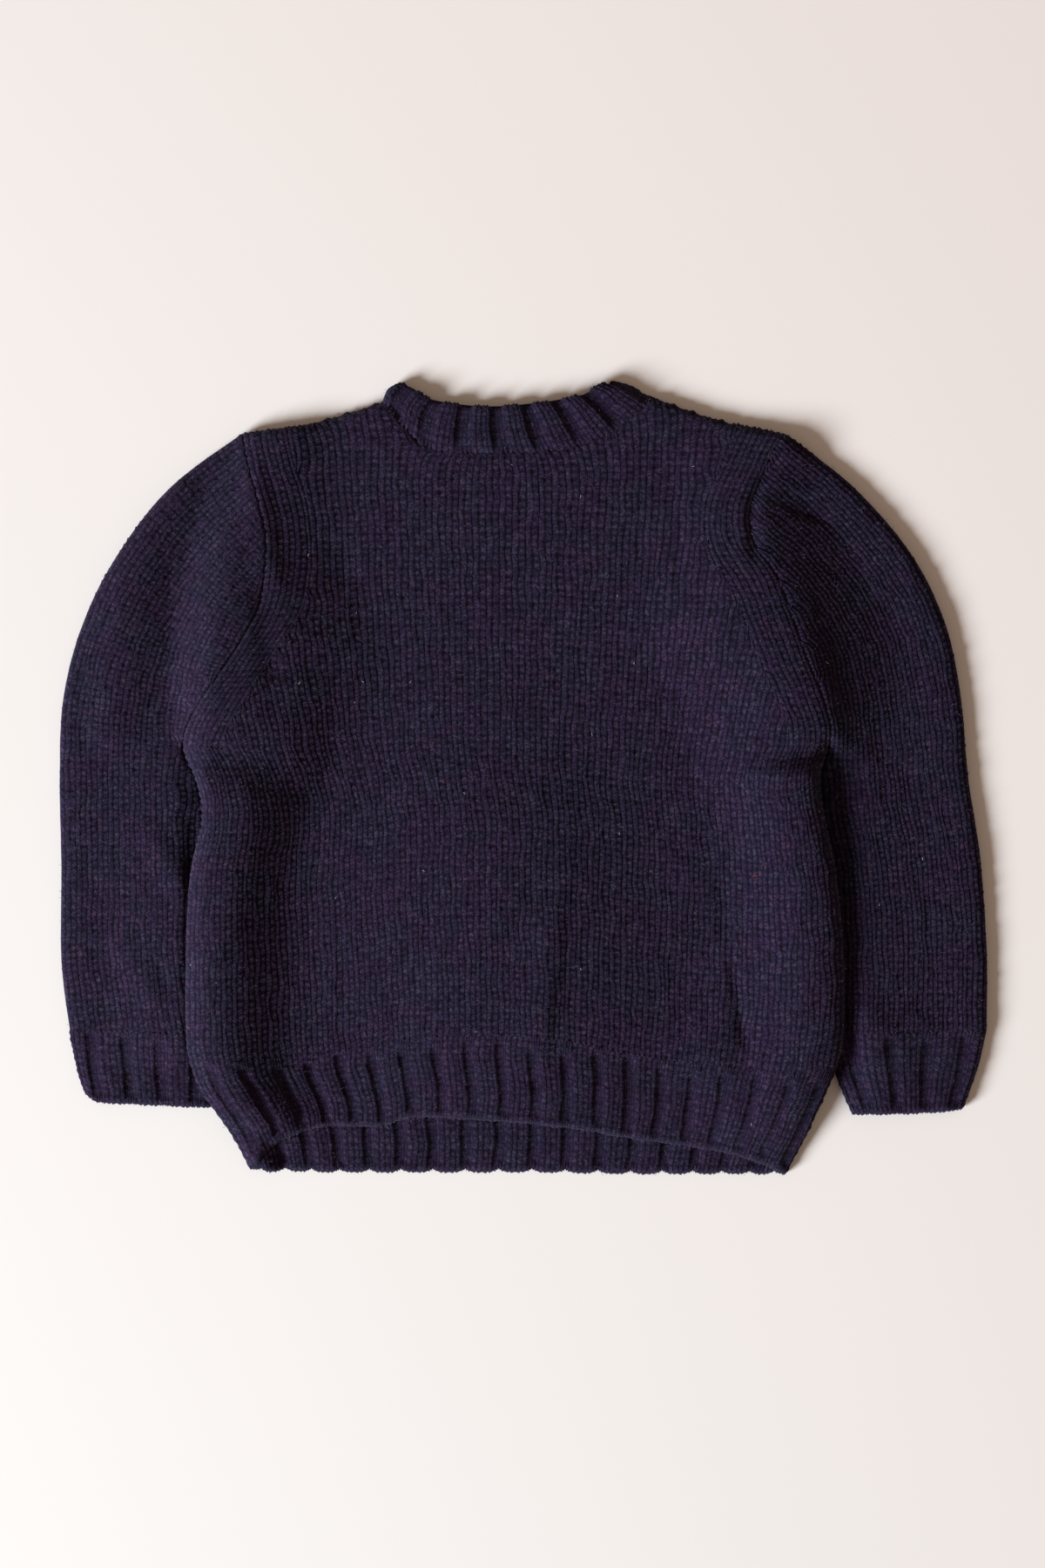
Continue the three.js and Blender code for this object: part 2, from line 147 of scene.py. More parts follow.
# the sheet's colour runs lighter and pinker away from the window; the lightening is painted light against the window's
# falloff
place = make(tree, "ShaderNodeTexCoord", output="Object")
across = make(tree, "ShaderNodeVectorMath", [place, TINT_AND_PAINTED_LIGHT_ACROSS], "Value", operation="DOT_PRODUCT")
share = make(tree, "ShaderNodeMapRange", [across, -TINT_AND_PAINTED_LIGHT_REACH, TINT_AND_PAINTED_LIGHT_REACH])
tint_and_painted_light = make(tree, "ShaderNodeMix", {0: share, 6: (*FLOOR_NEAR, 1), 7: (*FLOOR_FAR, 1)}, 2, data_type="RGBA")
tint_and_painted_light.into(shader.inputs["Base Color"])
floor.data.materials.append(paper)

camera_data = bpy.data.cameras.new("camera")
camera_data.lens, camera_data.sensor_width = LENS_MM, SENSOR_MM
camera = new_object("camera", camera_data)
camera.location = (*CAMERA_CENTRE, CAMERA_HEIGHT)
scene.camera = camera

light = bpy.data.lights.new("window", "AREA")
light.shape, light.size, light.energy, light.color = "DISK", WINDOW_SIZE, WINDOW_POWER, WINDOW_COLOUR
window = new_object("window", light)
window.location = WINDOW_PLACE
aim_x, aim_y, aim_z = (-at for at in WINDOW_PLACE)
window.rotation_euler = (math.atan2(math.hypot(aim_x, aim_y), -aim_z), 0, math.atan2(aim_y, aim_x) - math.pi / 2)
world = bpy.data.worlds.new("room")
world.use_nodes = True
world.node_tree.nodes["Background"].inputs["Color"].default_value = (*ROOM_COLOUR, 1)
world.node_tree.nodes["Background"].inputs["Strength"].default_value = ROOM_STRENGTH
scene.world = world
scene.view_settings.view_transform = "Standard"

# ==============================
# The back: one panel of plain knit in heather yarn, from the rib up to the shoulders, its armholes shaped
# by decreases. It is sewn to the front along both sides and both shoulders.
# Plan sizes are in millimetres, as the maker's chart has them: X across, Y from hem to neck.
# ==============================
MM = 0.001
EDGE_POINTS, SIDE_POINTS = 60, 40   # fine points along the lines that edges are read from
WALL = 3.0                          # thickness of the cloth
LAYER_GAP, LEAST_GAP = 0.6, 0.42    # air between the layers where they lie together
SEAM_GAP = 0.3
ARMPIT_Y = 18.0
SLEEVE_LIFT = 7.2                   # the body's sides ride this high over the sleeves
LIFT_FADE_LEFT, LIFT_FADE_RIGHT = 32, 19     # and come down within this much of the armpits,
LIFT_FADE_HEM = (-190, -232)        # between these heights near the hem
LIFT_FADE_IN = (20, 62)             # and this far in from the side
ARMHOLE_REACH = 26                  # a sleeve's folds carry on this far over its armhole
BLEND = 3                           # the power that broad folds are added with
BACK_WALES, BACK_COURSES = 60, 92
FAN = [  # y, how much wider than even the middle wales stand, how far the whole panel has opened
    (-240, 0, 1), (-118, 0.02, 1), (-60, 0.07, 1), (-20, 0.11, 1), (18, 0.12, 1), (90, 0.06, 1.12), (142, 0.02, 1.2),
    (184, 0, 1.26), (230, 0, 1.28)]
TOP_LEVEL = 227.0
STITCH_STEPS = 4                    # fine faces along each side of one stitch
PLAIN_LEG = 1.75                    # how far a leg of yarn stands up
PRESSED = (-0.8, -0.2)              # faces that look down this far are pressed flat where they lie
UNEVEN, BAND_UNEVEN = 0.50, 0.35    # how far a stitch strays from its place, in the panels and in bands and ribs
BEAD_SPAN, BEAD_START, BEAD_POWER = 0.8, 0.35, 0.7      # how a leg swells between its foot and its top
LEG_SLOPE = 0.7                     # courses by which the legs of a stitch slope down to the point of its V
HIPS_Y = -150.0
BAND_WALES = 4                      # a band of wales follows each armhole
BAND_LAP = 1.5                      # and the plain part runs in under it
LEFT_BAND_COURSES, RIGHT_BAND_COURSES = 52, 49
LEFT_ROLL, RIGHT_ROLL, SHOULDER_ROLL = 10.0, 10.5, 7.0      # how far in from a fold the cloth starts to round over
DRAW_REACH = 24.0                   # the inner face is drawn in from a fold over this width
EDGE_PASSES, EDGE_EVEN = 30, 0.15   # stitches are evened out along an edge
INNER_PASSES, INNER_EVEN = 90, 0.93     # and inside it
BACK_STITCH, FRONT_STITCH = (6.75, 4.2), (6.6, 4.2)         # a stitch's width and height
SEAM_REACH, SEAM_DEPTH = 3.0, 0.45    # the cloth dips into each seam
NECK_SEAM = (3.6, 1.0)              # and further where the neckband is picked up

BODY_SIDES = [  # y, left, right: side folds up to the armpits, then the armholes
    (-236, -162, 155), (-214, -172, 166), (-194, -185, 175), (-180, -194, 181), (-160, -200, 188),
    (-121, -201, 189), (-82, -200, 187), (-51, -197, 183), (-22, -190, 177), (0, -195, 174),
    (18, -203, 180), (37, -196, 178), (72, -172, 165), (98, -158, 156), (118, -154, 149),
    (140, -153, 135), (160, -157, 134), (190, -165, 146), (206, -168, 156)]
LEFT_SHOULDER = [(-168, 205), (-143, 208), (-118, 213), (-83, 224)]
RIGHT_SHOULDER = [(77, 226), (108, 215), (134, 208), (156, 204)]
LEFT_BAND = [(-177.5, 18), (-171, 34), (-150, 68), (-131, 98), (-126, 120), (-126, 142), (-129, 165), (-137, 190),
             (-140.5, 208.3)]
RIGHT_BAND = [(154.5, 18), (152.5, 36), (140, 64), (130, 90), (121, 112), (108, 136), (107, 162), (118, 190),
              (127, 209.9)]
BACK_NECK = [(-83, 224), (-64, 200), (-48, 194), (-22, 193), (20, 195), (46, 203), (62, 213), (77, 226)]
RIB_TOP_RANGE, RIB_END_RANGE = (-192, -145), (-238, -195)
HEM_LINES = [  # x, back rib top, back rib end, front rib top, front rib end
    (-200, -167, -238, -184, -233), (-163.5, -166, -233, -184, -233), (-153, -165, -221, -184, -234),
    (-144, -164.6, -214.5, -184, -234), (-121, -163.5, -207, -184, -235), (-86, -158, -206.6, -184, -235),
    (-68, -154, -201.4, -184, -235), (-30, -152, -202.6, -184, -235), (0, -152, -204.6, -184, -235),
    (35, -157, -209, -184.5, -235.5), (60, -163, -213.6, -185, -236), (92, -167.5, -218, -185.5, -236),
    (124, -171, -223.5, -186, -236), (144, -173.5, -230.5, -186, -236), (155, -174.6, -236, -186, -236),
    (190, -168, -238, -186, -236)]

# Soft folds of the laid cloth. Each row of a fold: x, y, how far it reaches to the left and to the
# right, and how high it stands there.
LEFT_CREST = [(-146, 200, 28, 34, 4.2), (-151, 178, 32, 44, 5.0), (-160, 152, 36, 58, 6.8), (-169, 125, 34, 84, 9.8),
              (-176, 95, 34, 104, 12.6), (-181, 60, 33, 104, 13.4), (-184.5, 25, 28, 90, 13.2),
              (-185, -8, 22, 74, 8.4), (-184.5, -40, 22, 66, 7.8), (-183, -80, 22, 60, 7.2), (-183, -110, 21, 60, 7),
              (-183, -150, 21, 62, 6.2), (-173, -190, 22, 52, 3.8)]
RIGHT_CREST = [(164, 200, 46, 20, 3.4), (142, 178, 50, 34, 4.8), (132, 160, 54, 48, 6.6), (136, 125, 76, 62, 10.5),
               (139, 92, 82, 82, 12.0), (141, 72, 70, 90, 12.6), (143, 52, 58, 94, 12.6), (149, 22, 58, 90, 12.4),
               (154, 8, 59, 72, 9.8), (159, -8, 60, 58, 8.6), (163, -30, 60, 54, 8.2), (167, -60, 58, 48, 7.8),
               (168, -110, 64, 42, 6.6), (163, -150, 62, 38, 4.6), (150, -178, 56, 38, 2.6), (144, -200, 48, 34, 1.8)]
MIDDLE_SWELL = [(-20, 20, 70, 60, 1.5), (-16, -30, 95, 90, 4.5), (-12, -90, 105, 110, 6), (-10, -150, 105, 110, 5.5),
                (-8, -200, 90, 90, 3)]
CREASES = [
    [(-163, 196, 15, 12, 1.2), (-158, 165, 15, 11, 2.0), (-150, 122, 15, 11, 1.5)],
    [(24, -46, 20, 8, 0.6), (17, -100, 26, 9, 1.5), (11, -150, 24, 9, 1.6), (9, -168, 20, 9, 0.8)],
    [(-66, -142, 14, 12, 0.7), (-36, -108, 16, 12, 1.1), (-4, -74, 14, 12, 0.7)],
    [(90, 178, 8, 8, -0.7), (93, 112, 8, 8, -0.7)],
    [(116, -64, 6, 8, -1.2), (120, -92, 6, 8, -1.2)],
    [(123, -112, 6, 8, -1.5), (131, -156, 6, 8, -1.5)],
    [(-156, 108, 10, 12, -1.2), (-150, 64, 10, 12, -1.0)],
    [(-170, 122, 26, 36, 0.6), (-177, 88, 26, 40, 1.4), (-185, 50, 20, 40, 2.2), (-187, 8, 16, 40, 0.8)],
    [(165, 112, 36, 16, 0.8), (171, 84, 50, 20, 3.4), (173, 54, 56, 24, 5.4), (175, 30, 56, 24, 3.8),
     (176, 12, 50, 24, 0.8)],
    [(112, -136, 24, 14, 0.7), (115, -172, 26, 20, 2.6), (118, -198, 26, 18, 1.4)],
    [(-134, 62, 44, 26, 0.5), (-136, 32, 44, 26, 2.5), (-140, 10, 44, 26, 3.4), (-150, -12, 40, 26, 2.5),
     (-160, -34, 30, 26, 1.6), (-166, -60, 24, 24, 0.6)],
    [(150, 190, 5, 7, -0.6), (135, 164, 5, 7, -2.0), (134, 140, 5, 7, -1.8), (136, 126, 5, 7, -0.6)],
]
HEM_CURL = [(-166, -210, 8, 12, 0.5), (-160, -222, 8, 12, 4.2), (-155, -232, 8, 12, 4.4), (-152, -240, 8, 12, 4)]
LEFT_SLEEVE_RIDGES = [
    [(-205, 165, 20, 14, 2), (-231, 126, 22, 26, 4.2), (-237, 104, 22, 30, 4.2), (-240, 80, 24, 34, 4.2),
     (-247, 30, 20, 28, 2.5)],
    [(-212, 20, 40, 10, 1), (-208, -20, 46, 12, 2.5), (-206, -60, 50, 11, 4.5), (-205, -100, 50, 11, 5.2),
     (-205, -150, 50, 11, 5)],
]
LEFT_SLEEVE_CREASES = [
    [(-222, -34, 12, 12, 0.8), (-206, -58, 14, 10, 1.8), (-196, -76, 12, 10, 1.2)],
    [(-240, -96, 12, 12, 0.8), (-222, -128, 12, 12, 1.4)],
]
RIGHT_SLEEVE_RIDGES = [
    [(200, 160, 16, 20, 0.3), (238, 100, 22, 16, 0.3), (248, 40, 28, 16, 0.2), (254, 0, 34, 16, 0.2),
     (258, -50, 38, 16, 0.2), (259, -128, 30, 16, 0.2)],
    [(200, 20, 16, 40, 0.3), (199, -10, 16, 44, 1.6), (198, -45, 16, 48, 2.4), (198, -110, 16, 48, 2.4),
     (202, -140, 14, 50, 2.8), (206, -160, 14, 50, 3.0), (211, -200, 14, 50, 3.0)],
    [(204, -118, 14, 30, 0.3), (203, -140, 14, 30, 3.4), (205, -158, 14, 32, 5.0), (210, -200, 14, 38, 4.2)],
]
RIGHT_SLEEVE_CREASES = [
    [(194, 112, 24, 30, -0.3), (204, 84, 28, 30, -0.8), (216, 40, 30, 28, -0.9), (222, 10, 30, 26, -0.5)],
]


def points(rows):
    return np.array(rows, float)


def read_table(rows, column, at):
    """One column of a table, on a smooth curve through its rows."""
    table = points(rows)
    keys, values = table[:, 0], table[:, column]
    at = np.clip(at, keys[0], keys[-1])
    i = np.clip(np.searchsorted(keys, at) - 1, 0, len(keys) - 2)
    before, after = np.maximum(i - 1, 0), np.minimum(i + 2, len(keys) - 1)
    step = keys[i + 1] - keys[i]
    t = (at - keys[i]) / step
    start_slope = (values[i + 1] - values[before]) / (keys[i + 1] - keys[before]) * step
    end_slope = (values[after] - values[i]) / (keys[after] - keys[i]) * step
    t2, t3 = t * t, t * t * t
    return ((2 * t3 - 3 * t2 + 1) * values[i] + (t3 - 2 * t2 + t) * start_slope
            + (3 * t2 - 2 * t3) * values[i + 1] + (t3 - t2) * end_slope)


def curve_through(rows, count):
    """Evenly spaced points on a smooth curve through the rows."""
    knots = points(rows)
    padded = np.vstack([knots[:1], knots, knots[-1:]])
    fine = []
    for i in range(len(knots) - 1):
        a, b, c, d = padded[i:i + 4]
        t = np.linspace(0, 1, 40, endpoint=False)[:, None]
        fine.append(0.5 * (2 * b + (c - a) * t + (2 * a - 5 * b + 4 * c - d) * t ** 2
                           + (3 * b - a - 3 * c + d) * t ** 3))
    return evenly_spaced(np.vstack([*fine, knots[-1:]]), count)


def lengths_along(line):
    return np.concatenate([[0], np.cumsum(np.linalg.norm(np.diff(line, axis=0), axis=1))])


def evenly_spaced(line, count):
    lengths = lengths_along(line)
    return at_length(line, np.linspace(0, lengths[-1], count))


def at_length(line, where):
    lengths = lengths_along(line)
    return np.stack([np.interp(where, lengths, line[:, k]) for k in range(line.shape[1])], -1)


def ease(start, end, value):
    t = np.clip((value - start) / (end - start), 0, 1)
    return t * t * (3 - 2 * t)


def nearest_on(line, x, y):
    """Distance to a line, which side of it a place is on (+1 left of its direction, -1 right, between
    past its ends), and how far along it is."""
    best = np.full(np.shape(x), 1e9)
    side = np.ones(np.shape(x))
    along = np.zeros(np.shape(x))
    lengths = lengths_along(line)
    for k, ((ax, ay), (bx, by)) in enumerate(zip(line[:-1], line[1:])):
        dx, dy = bx - ax, by - ay
        t = np.clip(((x - ax) * dx + (y - ay) * dy) / max(dx * dx + dy * dy, 1e-12), 0, 1)
        distance = np.hypot(x - ax - t * dx, y - ay - t * dy)
        closer = distance < best
        best = np.where(closer, distance, best)
        cross = (dx * (y - ay) - dy * (x - ax)) / np.maximum(distance * math.hypot(dx, dy), 1e-9)
        side = np.where(closer, np.clip(cross, -1, 1), side)
        along = np.where(closer, lengths[k] + t * math.hypot(dx, dy), along)
    return best, side, along


def side_x(column, y):
    return read_table(BODY_SIDES, column, y)


def fold_height(fold, x, y):
    """How high one fold lifts the cloth there."""
    rows = points(fold)
    line = curve_through(rows[:, :2], 30)
    knots = lengths_along(rows[:, :2])
    knots = knots / knots[-1] * lengths_along(line)[-1]
    distance, side, along = nearest_on(line, x, y)
    reach_left, reach_right, height = (np.interp(along, knots, rows[:, k]) for k in (2, 3, 4))
    if line[-1, 1] <= line[0, 1]:       # the fold's rows run down the cloth
        side = -side
    off = distance / (reach_right + (reach_left - reach_right) * (side + 1) / 2)
    return height * np.where(off < 1, (1 - np.minimum(off, 1) ** 2) ** 2, 0)


def blended(folds, x, y):
    """Broad folds that run into one another without adding up."""
    return sum(fold_height(fold, x, y) ** BLEND for fold in folds) ** (1 / BLEND)


def sleeve_rise(column, x, y):
    """The sleeve's own folds. column is 1 for the left side and 2 for the right one, as in BODY_SIDES."""
    ridges = LEFT_SLEEVE_RIDGES if column == 1 else RIGHT_SLEEVE_RIDGES
    creases = LEFT_SLEEVE_CREASES if column == 1 else RIGHT_SLEEVE_CREASES
    return blended(ridges, x, y) + sum(fold_height(fold, x, y) for fold in creases)


def near_armhole(column, x, y):
    """1 on an armhole's line, fading to 0 a little way off it, and 0 below the armpit."""
    return (1 - ease(0, ARMHOLE_REACH, np.abs(x - side_x(column, y)))) * ease(ARMPIT_Y - 6, ARMPIT_Y + 2, y)


def body_air(x, y):
    """Air between the layers: a little everywhere, more under each soft fold."""
    air = LAYER_GAP + blended([LEFT_CREST, RIGHT_CREST, MIDDLE_SWELL], x, y)
    air = air + sum(fold_height(fold, x, y) for fold in CREASES)
    for column in (1, 2):
        air = air + sleeve_rise(column, x, y) * near_armhole(column, x, y)
    return np.maximum(air, LEAST_GAP)


def body_base(x, y):
    """The body's sides are carried up by the sleeve edges that lie under them."""
    fade = np.where(x < 0, LIFT_FADE_LEFT, LIFT_FADE_RIGHT)
    down = ease(ARMPIT_Y - 1, ARMPIT_Y - fade, y) * (1 - ease(*LIFT_FADE_HEM, y))
    near_side = np.minimum(x - side_x(1, y), side_x(2, y) - x)
    return SLEEVE_LIFT * down * (1 - ease(*LIFT_FADE_IN, near_side)) + fold_height(HEM_CURL, x, y)


def on_floor(x, y):
    return np.zeros(np.shape(x))


def face_height(x, y, layer, outside, base, air, folds):
    """Height of the outer or inner face of the upper (+1) or lower (-1) layer."""
    half = WALL + air(x, y) / 2
    middle = base(x, y) + half
    roundness = np.ones(np.shape(x))
    for line, reach in folds:
        distance = nearest_on(line, x, y)[0]
        inward = distance if outside else distance - WALL
        limit = reach if outside else reach - WALL
        off = np.clip(inward / limit, 0, 1)
        roundness = np.minimum(roundness, np.sqrt(1 - (1 - off) ** 2))
    offset = (half if outside else half - WALL) * roundness
    return middle + layer * np.maximum(offset, SEAM_GAP / 2)


def dip(plan, ends):
    """How far the outer face dips towards each seam or free edge."""
    total = np.zeros(plan.shape[:-1])
    for line, reach, depth in ends:
        off = np.clip(nearest_on(line, plan[..., 0], plan[..., 1])[0] / reach, 0, 1)
        total = np.maximum(total, depth * (1 - np.sqrt(1 - (1 - off) ** 2)))
    return total


def cloth_layer(grid, used, fold_edges, chart, layer, base, air, folds, ends, steps=STITCH_STEPS, fine_side=+1):
    """The two faces of one layer of cloth. fine_side is -1 where the stitches that show are on its inner face."""
    outer, inner = fine_points(grid, steps), drawn_in(grid, folds)
    heights = dict(layer=layer, base=base, air=air, folds=folds)
    outer_z = face_height(outer[..., 0], outer[..., 1], outside=fine_side > 0, **heights)
    inner_z = face_height(inner[..., 0], inner[..., 1], outside=fine_side < 0, **heights)
    outer_z = outer_z - layer * fine_side * dip(outer, ends)
    return dict(outer=np.dstack([outer, outer_z]), inner=np.dstack([inner, inner_z]), used=used, chart=chart,
                folds=fold_edges, flip=layer * fine_side < 0)


def inside_outline(outline, x, y):
    count = np.zeros(np.shape(x), int)
    for (ax, ay), (bx, by) in zip(outline, np.roll(outline, -1, axis=0)):
        if ay == by:
            continue
        crosses = (ay > y) != (by > y)
        count += crosses & (x < (bx - ax) * (y - ay) / (by - ay) + ax)
    return count % 2 == 1


def open_edges(used):
    """The edges of used stitches with no stitch beyond them: pairs of (row, column), anticlockwise."""
    padded = np.pad(used, 1)
    for r, c in zip(*np.nonzero(used)):
        corners = (r, c), (r, c + 1), (r + 1, c + 1), (r + 1, c)
        beyond = padded[r, c + 1], padded[r + 1, c + 2], padded[r + 2, c + 1], padded[r + 1, c]
        yield from ((corners[k], corners[(k + 1) % 4]) for k in range(4) if not beyond[k])


def boundary_loop(used):
    """Corners (row, column) round the used stitches, anticlockwise, as one loop."""
    following = dict(open_edges(used))
    start = min(following)
    loop = [start]
    while following[loop[-1]] != start:
        loop.append(following[loop[-1]])
    assert len(loop) == len(following), "the used stitches are not one plain patch"
    return np.array(loop)


def fit_to_outline(grid, parts):
    """Keeps the stitches inside an outline and pulls the edge stitches on to it.
    parts is a list of (line, is_fold), anticlockwise. Returns the grid, the used stitches and fold edges."""
    outline = np.vstack([line[:-1] for line, _ in parts])
    closed = np.vstack([outline, outline[:1]])
    centre = (grid[:-1, :-1] + grid[1:, :-1] + grid[:-1, 1:] + grid[1:, 1:]) / 4
    used = inside_outline(outline, centre[..., 0], centre[..., 1])
    padded = np.pad(used, 1).astype(int)
    used &= padded[:-2, 1:-1] + padded[2:, 1:-1] + padded[1:-1, :-2] + padded[1:-1, 2:] > 1      # no lone corners
    loop = boundary_loop(used)
    total = lengths_along(closed)[-1]
    edge = grid[loop[:, 0], loop[:, 1]]
    along = nearest_on(closed, edge[:, 0], edge[:, 1])[2]
    starts = np.concatenate([[0], np.cumsum([lengths_along(line)[-1] for line, _ in parts])])
    corners = [int(np.argmin(np.hypot(*(edge - line[0]).T))) for line, _ in parts]
    shift = corners[0]
    along, loop = np.roll(along, -shift), np.roll(loop, -shift, axis=0)
    pinned = [(k - shift) % len(loop) for k in corners] + [len(loop)]
    along = np.append(along, total)
    for k, (first, last) in enumerate(zip(pinned[:-1], pinned[1:])):
        stretch = np.clip(along[first:last + 1], starts[k], starts[k + 1])
        stretch[0], stretch[-1] = starts[k], starts[k + 1]
        stretch = np.maximum.accumulate(stretch)
        even = np.linspace(starts[k], starts[k + 1], len(stretch))
        for _ in range(EDGE_PASSES):
            stretch[1:-1] = 0.5 * stretch[1:-1] + 0.25 * (stretch[:-2] + stretch[2:])
        along[first:last + 1] = (1 - EDGE_EVEN) * stretch + EDGE_EVEN * even
    fixed = np.zeros(grid.shape[:2], bool)
    fixed[loop[:, 0], loop[:, 1]] = True
    target = grid.copy()
    target[loop[:, 0], loop[:, 1]] = at_length(closed, along[:-1])
    padded = np.pad(used, 1)
    free = (padded[:-1, :-1] | padded[1:, :-1] | padded[:-1, 1:] | padded[1:, 1:]) & ~fixed
    fitted = target.copy()
    for _ in range(INNER_PASSES):
        average = fitted.copy()
        average[1:-1, 1:-1] = (fitted[:-2, 1:-1] + fitted[2:, 1:-1] + fitted[1:-1, :-2] + fitted[1:-1, 2:]) / 4
        fitted[free] = INNER_EVEN * average[free] + (1 - INNER_EVEN) * target[free]
    fitted = unevenly(fitted, ~free, len(loop), UNEVEN)
    around = [tuple(corner) for corner in loop]
    part_of = np.searchsorted(starts, (along[:-1] + along[1:]) / 2) - 1
    is_fold = {edge: parts[part][1] for edge, part in zip(zip(around, around[1:] + around[:1]), part_of)}
    return fitted, used, is_fold


def unevenly(grid, held, seed, amount):
    """Hand-loose stitches: every free corner strays a little, much the same way as the one above it."""
    stray = np.random.default_rng(seed).normal(0, amount, grid.shape)
    stray[1:-1, :, 0] = (stray[:-2, :, 0] + stray[1:-1, :, 0] + stray[2:, :, 0]) / 1.6
    stray[held] = 0
    return grid + stray


# Where the fine points of one stitch stand: its two legs lean apart from the foot of the V.
LEG_PLACE = {4: ((0, 0, 0, 0), (0.35, 0.31, 0.27, 0.22), (0.5, 0.5, 0.5, 0.5), (0.65, 0.69, 0.73, 0.78)),
             2: ((0, 0), (0.5, 0.5))}


def fine_points(grid, steps=STITCH_STEPS):
    """The grid of stitch corners, split finely, with the legs of each stitch leaning apart."""
    rows, columns = grid.shape[0] - 1, grid.shape[1] - 1
    fine_row, fine_column = np.arange(rows * steps + 1), np.arange(columns * steps + 1)
    r, c = np.minimum(fine_row // steps, rows - 1), np.minimum(fine_column // steps, columns - 1)
    place = np.array(LEG_PLACE[steps])
    across = place[fine_column % steps][:, fine_row % steps].T.astype(float)
    across[:, -1] = 1.0
    up = ((fine_row - r * steps) / steps)[:, None, None]
    across = across[..., None]
    r, c = r[:, None], c[None, :]
    low = grid[r, c] * (1 - across) + grid[r, c + 1] * across
    high = grid[r + 1, c] * (1 - across) + grid[r + 1, c + 1] * across
    return low * (1 - up) + high * up


def drawn_in(grid, folds):
    """The inner face's plan: moved in from the folds by one wall, less and less away from them."""
    moved = grid.copy()
    x, y = grid[..., 0], grid[..., 1]
    centre = grid.reshape(-1, 2).mean(0)
    for line, _ in folds:
        distance, side, along = nearest_on(line, x, y)
        tangent = at_length(line, along + 0.5) - at_length(line, along - 0.5)
        tangent /= np.maximum(np.linalg.norm(tangent, axis=-1, keepdims=True), 1e-9)
        normal = np.stack([-tangent[..., 1], tangent[..., 0]], -1)
        inward = np.sign((centre - line[len(line) // 2]) @ normal.reshape(-1, 2)[np.argmin(distance)])
        moved += normal * (inward * WALL * np.clip(1 - distance / DRAW_REACH, 0, 1))[..., None]
    return moved


def knit_shell(layers, steps=STITCH_STEPS):
    """One closed wall of cloth from the outer fine points and inner stitch corners of one or two layers.
    The fold edges of a second layer are welded to those of the first."""
    verts, chart, stands, quads, polygons = [], [], [], [], []
    seam, welded = {}, {}
    offset = 0
    for layer in layers:
        outer, inner, used = layer["outer"], layer["inner"], layer["used"]
        columns, turn = used.shape[1], -1 if layer["flip"] else 1
        outer_ids = offset + np.arange(outer[..., 0].size).reshape(outer.shape[:2])
        inner_ids = offset + outer_ids.size + np.arange(inner[..., 0].size).reshape(inner.shape[:2])
        offset += outer_ids.size + inner_ids.size
        verts += [outer.reshape(-1, 3), inner.reshape(-1, 3)]
        chart += [layer["chart"].reshape(-1, 3), layer["chart"][::steps, ::steps].reshape(-1, 3)]
        stands += [np.ones(outer_ids.size), np.zeros(inner_ids.size)]
        r, c = np.nonzero(np.repeat(np.repeat(used, steps, 0), steps, 1))
        sheet = np.stack([outer_ids[r, c], outer_ids[r, c + 1], outer_ids[r + 1, c + 1], outer_ids[r + 1, c]], -1)
        r, c = np.nonzero(used)
        lining = np.stack([inner_ids[r, c], inner_ids[r + 1, c], inner_ids[r + 1, c + 1], inner_ids[r, c + 1]], -1)
        quads += [sheet[:, ::turn], lining[:, ::turn]]
        for edge in open_edges(used):
            (r0, c0), (r1, c1) = edge
            fine_r = np.linspace(r0 * steps, r1 * steps, steps + 1).astype(int)
            fine_c = np.linspace(c0 * steps, c1 * steps, steps + 1).astype(int)
            outside, within = outer_ids[fine_r, fine_c], [inner_ids[r0, c0], inner_ids[r1, c1]]
            if len(layers) > 1 and layer["folds"].get(edge):
                keys = [("outer", a, b / columns) for a, b in zip(fine_r, fine_c)]
                keys += [("inner", r0, c0 / columns), ("inner", r1, c1 / columns)]
                for key, vertex in zip(keys, [*outside, *within]):
                    welded[vertex] = seam.setdefault(key, vertex)
            else:
                polygons.append([*outside[::-1], *within][::turn])
    verts, chart, stands = np.vstack(verts), np.vstack(chart), np.concatenate(stands)
    target = np.arange(len(verts))
    for vertex, first in welded.items():
        target[vertex] = first
    quads = target[np.vstack(quads)]
    polygons = [target[ring] for ring in polygons]
    kept = np.unique(np.concatenate([quads.ravel(), *polygons]))
    renumber = np.full(len(verts), -1)
    renumber[kept] = np.arange(len(kept))
    return verts[kept], chart[kept], stands[kept], renumber[quads], [renumber[ring] for ring in polygons]


CHART_LEFT, CHART_TOP = -277.0, 237.0     # the left sleeve's outer edge and the top of the neckband
PLACE_SHIFT = np.array([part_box("left_sleeve")[0].x / MM - CHART_LEFT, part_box("neckband")[1].y / MM - CHART_TOP, 0.0])


